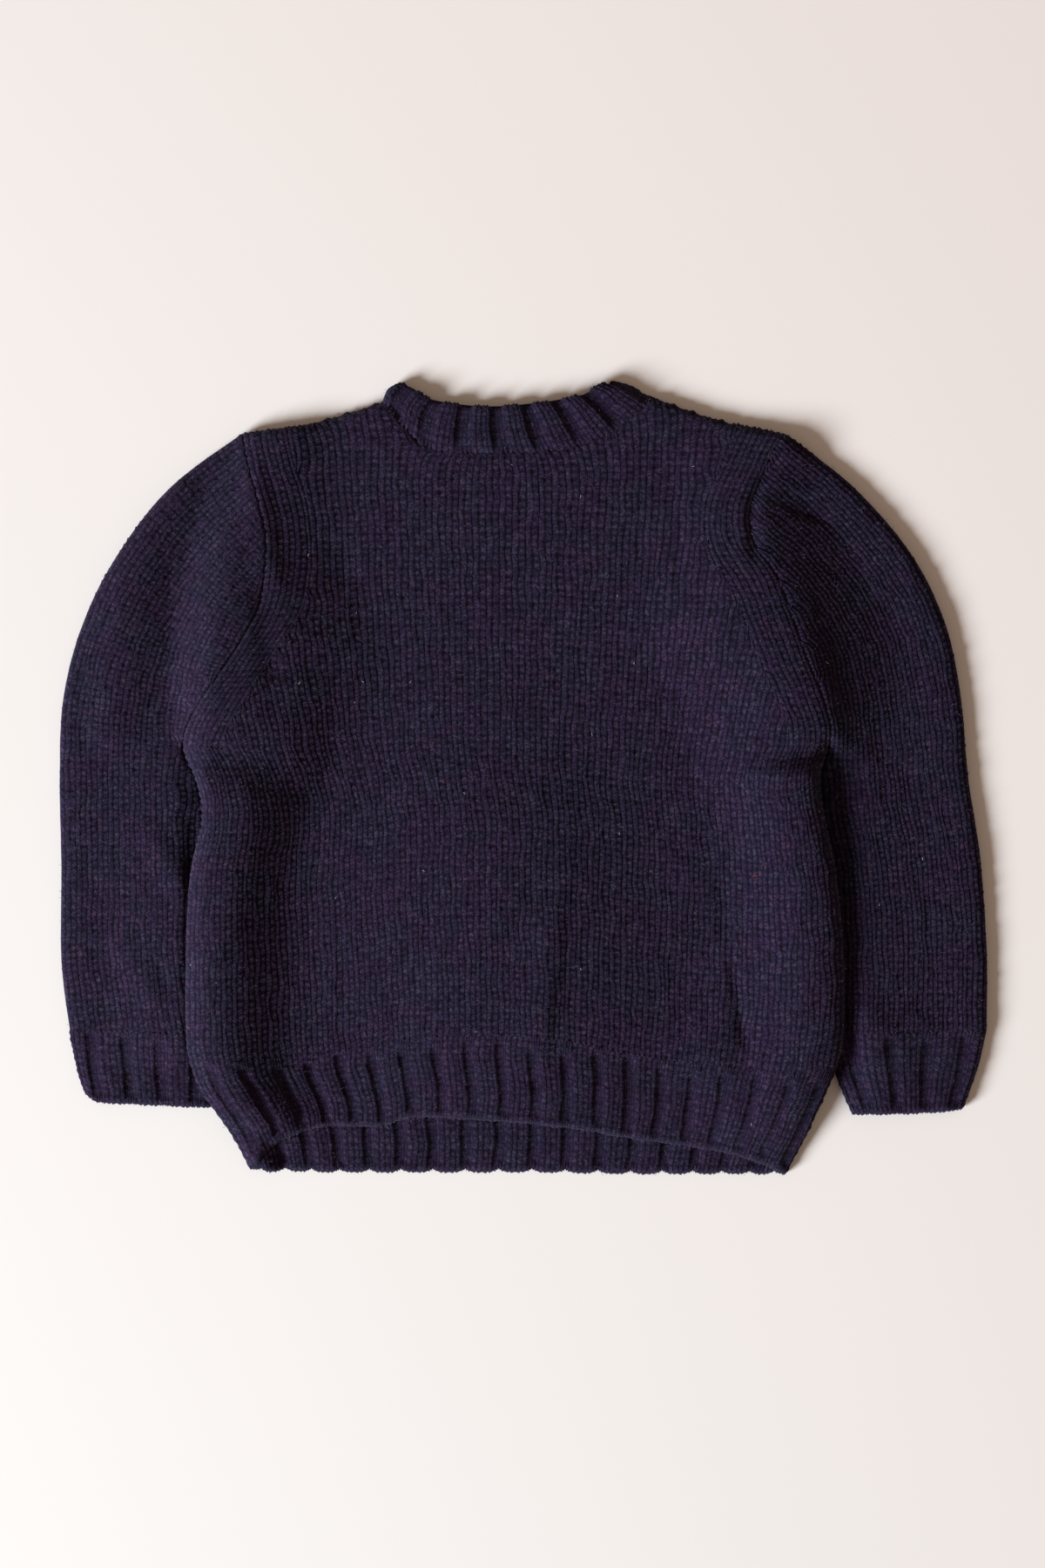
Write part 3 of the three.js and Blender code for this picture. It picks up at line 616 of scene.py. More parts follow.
def cloth_mesh(name, shell):
    """A mesh in metres from a shell in millimetres, with each point's stitch numbers kept on it."""
    verts, chart, stands, quads, polygons = shell
    mesh = bpy.data.meshes.new(name)
    loops = np.concatenate([quads.ravel(), *polygons])
    sizes = np.array([4] * len(quads) + [len(ring) for ring in polygons])
    mesh.vertices.add(len(verts))
    mesh.vertices.foreach_set("co", ((verts + PLACE_SHIFT) * MM).astype(np.float32).ravel())
    mesh.loops.add(len(loops))
    mesh.loops.foreach_set("vertex_index", loops.astype(np.int32))
    mesh.polygons.add(len(sizes))
    mesh.polygons.foreach_set("loop_start", (np.cumsum(sizes) - sizes).astype(np.int32))
    mesh.polygons.foreach_set("use_smooth", np.arange(len(sizes)) < len(quads))
    mesh.update(calc_edges=True)
    assert not mesh.validate(), name
    mesh.attributes.new("stitch", "FLOAT_VECTOR", "POINT").data.foreach_set("vector", chart.astype(np.float32).ravel())
    mesh.attributes.new("stands", "FLOAT", "POINT").data.foreach_set("value", stands.astype(np.float32))
    return mesh


def stitch_chart(rows, columns, steps=STITCH_STEPS):
    """Stitch numbers of the fine points: wale, course, and how far that wale is a purl one, here not at all."""
    wale, course = np.meshgrid(np.arange(columns * steps + 1) / steps, np.arange(rows * steps + 1) / steps)
    return np.stack([wale, course, np.zeros(wale.shape)], -1)


def new_tree(name, numbers, material):
    """A geometry nodes tree and its inputs: a geometry, some numbers with their defaults, and a material."""
    tree = bpy.data.node_groups.new(name, "GeometryNodeTree")
    tree.interface.new_socket("Geometry", in_out="INPUT", socket_type="NodeSocketGeometry")
    for label, value in numbers.items():
        kind = "NodeSocketInt" if isinstance(value, int) else "NodeSocketFloat"
        tree.interface.new_socket(label, in_out="INPUT", socket_type=kind).default_value = value
    tree.interface.new_socket(material, in_out="INPUT", socket_type="NodeSocketMaterial")
    tree.interface.new_socket("Geometry", in_out="OUTPUT", socket_type="NodeSocketGeometry")
    start = tree.nodes.new("NodeGroupInput")
    return tree, {socket.name: Value(socket) for socket in start.outputs if socket.name}


def end_tree(tree, geometry, material):
    realized = make(tree, "GeometryNodeRealizeInstances", [geometry])
    painted = make(tree, "GeometryNodeSetMaterial", {"Geometry": realized, "Material": material})
    painted.into(tree.nodes.new("NodeGroupOutput").inputs[0])
    return tree


def attribute(tree, name, kind="FLOAT"):
    return make(tree, "GeometryNodeInputNamedAttribute", {"Name": name}, "Attribute", data_type=kind)


def per_stitch(tree, wale, sloped):
    """A random number from 0 to 1 for each leg of each stitch."""
    cell = make(tree, "ShaderNodeCombineXYZ", [one("FLOOR", wale * 2.0), sloped])
    return make(tree, "ShaderNodeTexWhiteNoise", [cell], "Value")


def one(kind, value):
    """A sum that takes one number."""
    return value.calc(kind, value)


def leg_across(wale):
    """0 in the gaps between the legs and 1 on the middle of each."""
    return one("ABSOLUTE", one("SINE", wale * (2 * math.pi)))


def sloped_course(wale, course):
    """The course, counted along the sloping legs."""
    return course - one("ABSOLUTE", one("FRACT", wale) - 0.5) * LEG_SLOPE


def stitch_tree():
    """Geometry nodes that raise the two legs of every stitch out of a plain cloth."""
    tree, given = new_tree("raise_stitches", {
        "Leg Height": 0.0009, "Foot Tuck": 0.72, "Purl Height": 0.0006, "Rib Depth": 0.0019, "Variety": 0.4,
        "Unevenness": 0.0005, "Unevenness Scale": 70.0}, "Yarn")
    wale, course, purl = parts_of(attribute(tree, "stitch", "FLOAT_VECTOR"))
    sloped = sloped_course(wale, course)
    phase = one("FRACT", sloped)
    bead = one("SINE", phase * (math.pi * BEAD_SPAN) + BEAD_START) ** BEAD_POWER
    tuck = 1.0 - given["Foot Tuck"] * (1.0 - bead)
    full = 1.0 - per_stitch(tree, wale, one("ROUND", sloped - phase)) * given["Variety"]
    knit = leg_across(wale) * tuck * full * given["Leg Height"]
    purled = leg_across(course) * given["Purl Height"] - given["Rib Depth"]
    relief = knit * (1.0 - purl) + purled * purl
    place = make(tree, "GeometryNodeInputPosition")
    noise = make(tree, "ShaderNodeTexNoise", {"Vector": place, "Scale": given["Unevenness Scale"], "Detail": 2.0})
    uneven = (noise - 0.5) * given["Unevenness"]
    normal = make(tree, "GeometryNodeInputNormal")
    free = make(tree, "ShaderNodeMapRange", [parts_of(normal)[2], *PRESSED])
    height = (relief + uneven) * attribute(tree, "stands") * free
    outward = make(tree, "ShaderNodeVectorMath", {0: normal, "Scale": height}, operation="SCALE")
    moved = make(tree, "GeometryNodeSetPosition", {"Geometry": given["Geometry"], "Offset": outward})
    return end_tree(tree, moved, given["Yarn"])


def apply_tree(piece, tree, **values):
    """Runs a geometry nodes tree on a piece and keeps the result as its plain mesh."""
    modifier = piece.modifiers.new("nodes", "NODES")
    modifier.node_group = tree
    for item in tree.interface.items_tree:
        label = item.name.replace(" ", "_").lower()
        if item.in_out == "INPUT" and label in values:
            modifier[item.identifier] = values[label]
    graph = bpy.context.evaluated_depsgraph_get()
    result = bpy.data.meshes.new_from_object(piece.evaluated_get(graph))
    piece.modifiers.remove(modifier)
    result.name = piece.name
    piece.data = result


FIBRES, PATCHES, STREAKS, BREAKS = (620.0, 2.0), (48.0, 3.0), (120.0, 3.0), (360.0, 1.0)     # how fine, how detailed
# How light the yarn is: from leg to leg, along the yarn, from fibre to fibre; then painted shade between the legs and
# at their feet.
LEG_TONES, DRAWN_TONES, FLECK_TONES = (0.51, 0.85), (0.62, 1.38), (0.55, 1.85)
PAINTED_GAP_SHADE, PAINTED_FOOT_SHADE = (0.08, 1.0), (0.42, 1.0)
PURL_TONE, PURL_PAINTED_SHADE = 0.45, 0.12   # under the painted shade, purl wales stay at least this light, and all get this much more painted shade, as they lie recessed
YARN_INKS = ((0.0344, 0.0168, 0.0560, 1), (0.0266, 0.0214, 0.0546, 1), (0.0402, 0.0154, 0.0462, 1))
DARKS_TO_LIGHTS = (1.0, 1.25, 0.72)      # powers of the tone: the darks, painted shade among them, lean to violet as shade on this cloth does, the lights to grey


def yarn_material():
    """Matt woollen yarn, dark navy heather: every stitch a little different, with painted shade between the legs, at
    their feet and in the purl wales.
    """
    material, tree, shader = material_with("heather_yarn", roughness=0.95, specular_ior_level=0.12, sheen_weight=0.10,
                                           sheen_roughness=0.6, sheen_tint=(0.55, 0.55, 0.75, 1))
    wale, course, purl = parts_of(make(tree, "ShaderNodeAttribute", output="Vector", attribute_name="stitch"))
    place = make(tree, "ShaderNodeTexCoord", output="Object")

    def noise(scale, detail, vector=place):
        return make(tree, "ShaderNodeTexNoise", {"Vector": vector, "Scale": scale, "Detail": detail}, "Fac")

    def mixed(amount, first, second, kind="MIX"):
        return make(tree, "ShaderNodeMix", {0: amount, 6: first, 7: second}, 2, data_type="RGBA", blend_type=kind)

    def ramp(value, low, high):
        return make(tree, "ShaderNodeMapRange", [value, low, high], interpolation_type="SMOOTHSTEP")

    def spread(value, low, high):
        return value * (high - low) + low

    sloped = sloped_course(wale, course)
    fibre = noise(*FIBRES)
    ink = mixed(ramp(noise(*PATCHES), 0.34, 0.66), YARN_INKS[0], YARN_INKS[1])
    ink = mixed(ramp(noise(*STREAKS), 0.50, 0.74) * 0.6, ink, YARN_INKS[2])
    drawn = make(tree, "ShaderNodeCombineXYZ", [wale * 1.1, course * 0.16])
    # painted shade: dark in the gaps between the legs, broken up by noise
    painted_gap_shade = ramp(leg_across(wale) + (noise(*BREAKS) - 0.5) * 1.5, 0.0, 0.9)
    # painted shade: dark at the foot of each stitch, between one course and the next
    foot = ramp(one("SINE", one("FRACT", sloped) * math.pi), 0.0, 0.8)
    shade = spread(painted_gap_shade, *PAINTED_GAP_SHADE) * spread(foot, *PAINTED_FOOT_SHADE)
    # painted shade in the recessed purl wales
    shade = shade.calc("MAXIMUM", shade, purl * PURL_TONE) * (1.0 - purl * PURL_PAINTED_SHADE)
    tone = (spread(per_stitch(tree, wale, one("FLOOR", sloped)), *LEG_TONES)
            * spread(noise(1.0, 2.0, drawn), *DRAWN_TONES) * spread(ramp(fibre, 0.34, 0.74), *FLECK_TONES) * shade)
    grey = make(tree, "ShaderNodeCombineColor", [(tone * 1.6) ** power * 0.625 for power in DARKS_TO_LIGHTS])
    mixed(1.0, ink, grey, "MULTIPLY").into(shader.inputs["Base Color"])
    twist = one("SINE", course * 18.0 + wale * 14.0)
    bump = make(tree, "ShaderNodeBump", {"Strength": 0.6, "Distance": 0.0012, "Height": twist * 0.05 + fibre * 0.7})
    bump.into(shader.inputs["Normal"])
    return material


NAP_PER_M2 = 26000
NAP_LENGTH, NAP_RADIUS = 0.0022, 0.000065
NAP_BEND = ((0, 0, -0.3), (0.1, 0, 0.5), (0.75, 0.2, 0.42))      # start, middle and end of a fibre one unit long
NAP_LEAST_UP = -0.35                # none on faces that look down more than this
NAP_LEAN, NAP_SIZES = 0.9, (0.5, 1.3)


def random_in(tree, seed, low, high):
    """A random number, or three of them between two triples."""
    kind, first, output = ("FLOAT_VECTOR", 0, 0) if isinstance(low, tuple) else ("FLOAT", 2, 1)
    return make(tree, "FunctionNodeRandomValue", {first: low, first + 1: high, "Seed": seed}, output, data_type=kind)


def any_turn(tree, seed, lean):
    return random_in(tree, seed, (-lean, -lean, 0.0), (lean, lean, 2 * math.pi))


def set_fibres(tree, given, points, bend, sides, thickness, rotation, size):
    """Ends a tree with a bent fibre on each point."""
    ends = dict(zip(("Start", "Middle", "End"), bend))
    curve = make(tree, "GeometryNodeCurveQuadraticBezier", {"Resolution": 3, **ends})
    ring = make(tree, "GeometryNodeCurvePrimitiveCircle", {"Resolution": sides, "Radius": thickness})
    strand = make(tree, "GeometryNodeCurveToMesh", {"Curve": curve, "Profile Curve": ring, "Fill Caps": True})
    placed = make(tree, "GeometryNodeInstanceOnPoints", {"Points": points, "Instance": strand,
                                                         "Rotation": rotation, "Scale": size})
    return end_tree(tree, placed, given["Fibre"])


def nap_tree():
    """Geometry nodes that set short bent fibres all over the outer face of a piece."""
    tree, given = new_tree("nap", {"Density": 0.0, "Length": 0.0, "Radius": 0.0, "Seed": 0}, "Fibre")
    upward = parts_of(make(tree, "GeometryNodeInputNormal"))[2]
    density = upward.over(NAP_LEAST_UP) * attribute(tree, "stands").over(0.6) * given["Density"]
    scattered = make(tree, "GeometryNodeDistributePointsOnFaces", {"Mesh": given["Geometry"], "Density": density,
                                                                   "Seed": given["Seed"]}, "Points")
    turn = make(tree, "FunctionNodeRotateRotation", [scattered.beside("Rotation"),
                                                     any_turn(tree, given["Seed"], NAP_LEAN)], rotation_space="LOCAL")
    return set_fibres(tree, given, scattered, NAP_BEND, 3, given["Radius"] / given["Length"], turn,
                      random_in(tree, given["Seed"], *NAP_SIZES) * given["Length"])


def nap_on(cloth, seed):
    """The fine ends of wool that stand out of a piece of the knitting."""
    nap = new_object(cloth.name + "_nap", cloth.data.copy())
    apply_tree(nap, scatter_nap, density=NAP_PER_M2, length=NAP_LENGTH, radius=NAP_RADIUS, seed=seed, fibre=loose_wool)
    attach(nap, "root")
    return nap


yarn = yarn_material()
raise_stitches = stitch_tree()
scatter_nap = nap_tree()
loose_wool = plain_material("loose_wool", (0.100, 0.082, 0.130), 0.9)


def hem_line(column, x):
    return read_table(HEM_LINES, column, x)


def hem_corner(column, side):
    """Where a hem line meets a side fold: its Y."""
    y = np.linspace(*(RIB_END_RANGE if column in (2, 4) else RIB_TOP_RANGE), 2000)
    return float(y[np.argmin(np.abs(hem_line(column, side_x(side, y)) - y))])


def body_place(wale, course, wales, courses, rib_column):
    """Plan place of a stitch corner: the wales open out from the hips to the shoulders."""
    share = wale / wales
    x = side_x(1, HIPS_Y) + share * (side_x(2, HIPS_Y) - side_x(1, HIPS_Y))
    y = hem_line(rib_column, x) + (TOP_LEVEL - hem_line(rib_column, x)) * course / courses
    left, right = side_x(1, np.minimum(y, ARMPIT_Y)), side_x(2, np.minimum(y, ARMPIT_Y))
    off = share - 0.5
    off = off * (1 + read_table(FAN, 1, y) * (1 - 4 * off * off)) * read_table(FAN, 2, y)
    return np.stack([(left + right) / 2 + off * (right - left), y], -1)


def side_line(column, low, high, count):
    y = np.linspace(low, high, count)
    return np.stack([side_x(column, y), y], -1)


def body_outline(rib_column, neck):
    """The panel's edges, anticlockwise from the foot of the left side, and which are folds.
    Along each armhole it stops at the band of wales that follows the armhole."""
    left_foot, right_foot = hem_corner(rib_column, 1), hem_corner(rib_column, 2)
    x = np.linspace(side_x(1, left_foot), side_x(2, right_foot), EDGE_POINTS)
    foot = np.stack([x, hem_line(rib_column, x)], -1)
    left_band = curve_through(LEFT_BAND, EDGE_POINTS) - (BAND_LAP, 0)
    right_band = curve_through(RIGHT_BAND, EDGE_POINTS) + (BAND_LAP, 0)
    left_side = side_line(1, left_foot, ARMPIT_Y, SIDE_POINTS)
    right_side = side_line(2, right_foot, ARMPIT_Y, SIDE_POINTS)
    left_top, right_top = curve_through(LEFT_SHOULDER, EDGE_POINTS), curve_through(RIGHT_SHOULDER, EDGE_POINTS)
    left_top = np.vstack([left_band[-1:], left_top[left_top[:, 0] > left_band[-1, 0] + 0.5]])
    right_top = np.vstack([right_top[right_top[:, 0] < right_band[-1, 0] - 0.5], right_band[-1:]])
    return [
        (foot, False),
        (right_side, True),
        (np.array([right_side[-1], right_band[0]]), False),
        (right_band, False),
        (right_top[::-1], True),
        (curve_through(neck, EDGE_POINTS)[::-1], False),
        (left_top[::-1], True),
        (left_band[::-1], False),
        (np.array([left_band[0], left_side[-1]]), False),
        (left_side[::-1], True),
    ]


def patch_between(low, high, left, right, shares, rows):
    """Stitch corners between a lower and an upper line and two side lines, each a function of a share."""
    at = np.linspace(0, 1, rows + 1)
    u, v = shares[None, :, None], at[:, None, None]
    low_line, high_line = low(shares), high(shares)
    grid = low_line[None] * (1 - v) + high_line[None] * v
    bare_left = low_line[:1] * (1 - v[:, 0]) + high_line[:1] * v[:, 0]
    bare_right = low_line[-1:] * (1 - v[:, 0]) + high_line[-1:] * v[:, 0]
    grid = grid + (1 - u) * (left(at) - bare_left)[:, None] + u * (right(at) - bare_right)[:, None]
    held = np.ones(grid.shape[:2], bool)
    held[1:-1, 1:-1] = False
    return unevenly(grid, held, rows, BAND_UNEVEN)


def line_at(rows):
    line = curve_through(rows, EDGE_POINTS) if len(rows) > 2 else evenly_spaced(points(rows), SIDE_POINTS)
    lengths = lengths_along(line)
    return lambda share: at_length(line, np.asarray(share) * lengths[-1])


def armhole_band(column, courses):
    """The band of wales that runs along an armhole, where the decreases are worked beside it."""
    top = LEFT_SHOULDER[0] if column == 1 else RIGHT_SHOULDER[-1]
    edge = np.vstack([side_line(column, ARMPIT_Y, top[1] - 1.2, EDGE_POINTS), top])
    band = LEFT_BAND if column == 1 else RIGHT_BAND
    sides = [line_at(edge), line_at(band)]
    if column == 2:
        sides = sides[::-1]
    low = line_at([sides[0](0.0), sides[1](0.0)])
    high = line_at([sides[0](1.0), sides[1](1.0)])
    return patch_between(low, high, *sides, np.linspace(0, 1, BAND_WALES + 1), courses), edge


def joined(shells):
    """Several closed walls as one."""
    verts, chart, stands = (np.concatenate([shell[k] for shell in shells]) for k in range(3))
    starts = np.cumsum([0] + [len(shell[0]) for shell in shells])
    quads = np.vstack([shell[3] + start for shell, start in zip(shells, starts)])
    return verts, chart, stands, quads, [ring + start for shell, start in zip(shells, starts) for ring in shell[4]]


def knitted(name, node, slot, shell, **relief):
    """A piece that stands for a node of the table, with its stitches raised. The relief is in millimetres."""
    piece = new_object(name, cloth_mesh(name, shell))
    apply_tree(piece, raise_stitches, yarn=yarn, **{label: size * MM for label, size in relief.items()})
    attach(piece, "root")
    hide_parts(node)
    return piece


def panel(name, node, courses, rib_column, neck, layer, steps, stitch):
    """One side of the body: the piece and the area of its cloth."""
    parts = body_outline(rib_column, neck)
    folds = [(parts[1][0], RIGHT_ROLL), (line_at(RIGHT_SHOULDER)(np.linspace(0, 1, 30)), SHOULDER_ROLL),
             (line_at(LEFT_SHOULDER)(np.linspace(0, 1, 30)), SHOULDER_ROLL), (parts[9][0], LEFT_ROLL)]
    left_band, left_edge = armhole_band(1, LEFT_BAND_COURSES)
    right_band, right_edge = armhole_band(2, RIGHT_BAND_COURSES)
    ends = [(left_edge, SEAM_REACH, SEAM_DEPTH), (right_edge, SEAM_REACH, SEAM_DEPTH), (parts[5][0], *NECK_SEAM)]
    wale, course = np.meshgrid(np.arange(BACK_WALES + 1.0), np.arange(courses + 1.0))
    patches = [fit_to_outline(body_place(wale, course, BACK_WALES, courses, rib_column), parts)]
    patches += [(band, np.ones((len(band) - 1, BAND_WALES), bool), {}) for band in (left_band, right_band)]
    shells = []
    for number, (grid, used, fold_edges) in enumerate(patches):
        chart = stitch_chart(*used.shape, steps) + (100.0 * number, 0, 0)
        shells.append(knit_shell([cloth_layer(grid, used, fold_edges, chart, layer, body_base, body_air, folds, ends,
                                              steps)], steps))
    piece = knitted(name, node, "stockinette", joined(shells), leg_height=PLAIN_LEG)
    return piece, sum(knitted_area(used, stitch) for _, used, _ in patches)


def knitted_area(used, stitch):
    """Square metres of cloth in the used stitches, each of a width and a height."""
    return float(used.sum()) * stitch[0] * stitch[1] * 1e-6


back, back_area = panel("back", "back_panel", BACK_COURSES, 1, BACK_NECK, +1, STITCH_STEPS, BACK_STITCH)
nap_on(back, 1)

# ==============================
# The front: the same plain knit, with a deeper neck. It lies face down and nothing of it
# shows but the inside of its rib. It is sewn to the back along both sides and both shoulders.
# ==============================
FRONT_COURSES = 98
FRONT_STEPS = 2                     # it lies face down, so its stitches are drawn more simply
FRONT_NECK = [(-83, 224), (-70, 190), (-45, 156), (-3, 142), (38, 156), (61, 190), (77, 226)]
front, front_area = panel("front", "front_panel", FRONT_COURSES, 3, FRONT_NECK, -1, FRONT_STEPS, FRONT_STITCH)

# ==============================
# The hem ribs: two knit and two purl wales in turn, knitted down from the back and the front.
# The back one rides up, so that the inside of the front one shows below it.
# Their ends are sewn together at the sides, and their lower edges are cast off loosely.
# ==============================
RIB_REPEATS, RIB_COURSES = 20, 13
RIB_LEG = 1.4
FRONT_REPEATS, FRONT_RIB_COURSES = 18, 12
HEM_SHARES = (0.34, 0.16)           # a knit and a purl wale, of one repeat: the purl wales close up
HEM_PLAIN, CUFF_PLAIN = 3, 2        # the ribs turn into plain knit within this many courses,
TURN_COURSES = 1.6                  # each wale over this many
CHAIN = (0.1, 1.5)                  # courses in which the cast-off chain runs across the grooves
SIDE_PULL = 5.5                     # the ribs lean in only near the side folds
RIB_DEPTH = 1.3                     # of the purl wales
EDGE_REACH, EDGE_DEPTH = 3.4, 2.0


def rib_columns(repeats, start, shares):
    """Column edges as shares of the width, and which columns are purl. start is where in a repeat it begins."""
    widths = np.tile(np.repeat(shares, 2), int(repeats) + 2)
    purl = np.tile([0.0, 0.0, 1.0, 1.0], int(repeats) + 2)
    edges = np.concatenate([[0], np.cumsum(widths)]) - start
    first = np.searchsorted(edges, 0, "right") - 1
    last = np.searchsorted(edges, repeats, "left")
    edges, purl = edges[first:last + 1].copy(), purl[first:last]
    edges[0], edges[-1] = 0.0, repeats
    return edges / repeats, purl


def at_edges(purl):
    """The purl share of each column's edges, from those of the columns."""
    padded = np.concatenate([purl[:1], purl, purl[-1:]])
    return (padded[:-1] + padded[1:]) / 2


def rib_chart(rows, purl, plain_top):
    """Stitch numbers, with the purl wales fading into plain knit over the last courses."""
    chart = stitch_chart(rows, len(purl))
    wale, course = chart[..., 0], chart[..., 1]
    column = wale.astype(int)
    chart[..., 2] = np.where(wale % 1 == 0, at_edges(purl)[column], purl[np.minimum(column, len(purl) - 1)])
    if plain_top:
        # every few wales the rib ends a little higher or lower
        start = rows - plain_top * (0.5 + 0.5 * np.sin(np.arange(chart.shape[1]) // (4 * STITCH_STEPS) * 2.4) ** 2)
        chart[..., 2] *= 1 - ease(start, start + TURN_COURSES, course)
    chart[..., 2] *= ease(*CHAIN, course)
    return chart


def rib_patch(low, high, left, right, edges, rows, scallop, purl):
    """Stitch corners of a rib; its cast-off edge is drawn up a little at each purl groove."""
    grid = patch_between(low, high, left, right, edges, rows)
    grid[..., 1] += scallop * at_edges(purl) ** 2 * np.clip(1 - 3 * np.linspace(0, 1, rows + 1)[:, None], 0, 1)
    return grid


def fold_sides(rows, columns):
    edges = {((r + 1, 0), (r, 0)): True for r in range(rows)}
    edges.update({((r, columns), (r + 1, columns)): True for r in range(rows)})
    return edges


def rib_layer(grid, purl, plain_top, layer, base, air, folds, ends, fine_side=+1):
    rows, columns = grid.shape[0] - 1, len(purl)
    return cloth_layer(grid, np.ones((rows, columns), bool), fold_sides(rows, columns),
                       rib_chart(rows, purl, plain_top), layer, base, air, folds, ends, fine_side=fine_side)


def hem_rib(name, top_column, end_column, repeats, rows, layer, fine_side, start, scallop):
    """The rib of one side of the body, between two of the hem lines."""
    edges, purl = rib_columns(repeats, start, HEM_SHARES)
    left_top, right_top = hem_corner(top_column, 1), hem_corner(top_column, 2)
    left_end, right_end = hem_corner(end_column, 1), hem_corner(end_column, 2)
    top_left, top_right = side_x(1, left_top), side_x(2, right_top)

    def across(column, left_y, right_y):
        def line(share):
            x = (top_left + share * (top_right - top_left) + (side_x(1, left_y) - top_left) * (1 - share) ** SIDE_PULL
                 + (side_x(2, right_y) - top_right) * share ** SIDE_PULL)
            return np.stack([x, hem_line(column, x)], -1)
        return line

    def side(column, low, high):
        return lambda v: np.stack([side_x(column, low + v * (high - low)), low + v * (high - low)], -1)

    grid = rib_patch(across(end_column, left_end, right_end), across(top_column, left_top, right_top),
                     side(1, left_end, left_top), side(2, right_end, right_top), edges, rows, scallop, purl)
    folds = [(grid[:, -1], RIGHT_ROLL), (grid[:, 0][::-1], LEFT_ROLL)]
    ends = [(grid[0], EDGE_REACH, EDGE_DEPTH)]
    shell = knit_shell([rib_layer(grid, purl, HEM_PLAIN, layer, body_base, body_air, folds, ends, fine_side)])
    return knitted(name, name, "rib", shell, leg_height=RIB_LEG, rib_depth=RIB_DEPTH)


back_rib = hem_rib("back_hem_rib", 1, 2, RIB_REPEATS, RIB_COURSES, +1, +1, start=0.2, scallop=0.6)
nap_on(back_rib, 2)
front_rib = hem_rib("front_hem_rib", 3, 4, FRONT_REPEATS, FRONT_RIB_COURSES, -1, -1, start=0.3, scallop=2.4)
nap_on(front_rib, 3)

# ==============================
# The sleeves: plain knit tubes, flattened, sewn into the armholes.
# Their wales run along the outer edge from the cuff to the shoulder; the seam is underneath.
# ==============================
SLEEVE_COURSES = 94
LEFT_PITCH, RIGHT_PITCH = 6.45, 5.95     # from wale to wale
SLEEVE_WIDTH, SLEEVE_FOOT = 116, -151
LEFT_SLEEVE_EDGE = [(-168.3, 205), (-211, 173), (-243, 132), (-264, 90), (-275, 46), (-277, 0), (-276, -55),
                    (-276, -108), (-271, -150)]
RIGHT_SLEEVE_EDGE = [(156.3, 204), (196, 173), (231, 132), (251, 90), (260, 46), (264, 0), (271, -45), (275, -100),
                     (275, -150)]
SLEEVE_UNDER_SIDE = [  # y, how far the left and right sleeves run in under the body's sides
    (-152, 16, 9.5), (-110, 16, 11), (-60, 12, 8), (-34, 4, 4), (-12, 0.8, 0.8), (8, -0.1, -0.1), (18, -0.3, -0.3)]
SLEEVE_ROLL = 9.0
CREST_FADE = {1: (-30, 6), 2: (-20, 2)}     # the body's crest fades out over the sleeve, this far from the armpit,
RIGHT_FADE_MORE, RIGHT_FADE_FROM = 40, (198, 214)       # and further down on the outside of the right sleeve


def sleeve_parts(column, edge):
    """The sleeve's outline, anticlockwise, and which edges are folds."""
    inward = 1 if column == 1 else -1
    y = np.linspace(SLEEVE_FOOT, ARMPIT_Y, 50)
    under = np.stack([side_x(column, y) + inward * read_table(SLEEVE_UNDER_SIDE, column, y), y], -1)
    armhole = side_line(column, ARMPIT_Y, edge[0][1], EDGE_POINTS)
    armhole[-1] = edge[0]
    outer = curve_through(edge, 120)
    cuff = np.array([outer[-1], under[0]])
    if column == 1:
        return [(cuff, False), (under, True), (armhole, False), (outer, True)]
    return [(cuff[::-1], False), (outer[::-1], True), (armhole[::-1], False), (under[::-1], True)]


def sleeve_place(edge, column, pitch):
    """Stitch corners: wales side by side in from the outer edge, courses from the cuff up."""
    outer = curve_through(edge, SLEEVE_COURSES + 1)[::-1]
    ahead = np.gradient(outer, axis=0)
    for _ in range(40):
        ahead[1:-1] = (ahead[:-2] + 2 * ahead[1:-1] + ahead[2:]) / 4
    ahead /= np.linalg.norm(ahead, axis=1, keepdims=True)
    inward = np.stack([ahead[:, 1], -ahead[:, 0]], -1) * (1 if column == 1 else -1)
    wales = np.arange(math.ceil(SLEEVE_WIDTH / pitch) + 1) * pitch
    wales = wales if column == 1 else wales[::-1]
    return outer[:, None] + inward[:, None] * wales[None, :, None]


def sleeve(name, node, column, edge, pitch):
    """A sleeve: its upper and lower layers, joined at both folds."""
    parts = sleeve_parts(column, edge)
    grid, used, fold_edges = fit_to_outline(sleeve_place(edge, column, pitch), parts)
    folds = [(line, SLEEVE_ROLL) for line, is_fold in parts if is_fold]
    ends = [(parts[2][0], SEAM_REACH, SEAM_DEPTH)]
    crest = LEFT_CREST if column == 1 else RIGHT_CREST

    def air(x, y):
        low, high = CREST_FADE[column]
        if column == 2:
            low = low - RIGHT_FADE_MORE * ease(*RIGHT_FADE_FROM, x)
        shared = fold_height(crest, x, y) * ease(ARMPIT_Y + low, ARMPIT_Y + high, y)
        shared = shared + sum(fold_height(fold, x, y) for fold in CREASES) * near_armhole(column, x, y)
        return np.maximum(LAYER_GAP + shared + sleeve_rise(column, x, y), LEAST_GAP)

    shell = knit_shell([cloth_layer(grid, used, fold_edges, stitch_chart(*used.shape), layer, on_floor, air, folds,
                                    ends) for layer in (+1, -1)])
    piece = knitted(name, node, "stockinette", shell, leg_height=PLAIN_LEG)
    nap_on(piece, 3 + column)
    return piece


left_sleeve = sleeve("left_sleeve_knit", "left_sleeve", 1, LEFT_SLEEVE_EDGE, LEFT_PITCH)
right_sleeve = sleeve("right_sleeve_knit", "right_sleeve", 2, RIGHT_SLEEVE_EDGE, RIGHT_PITCH)

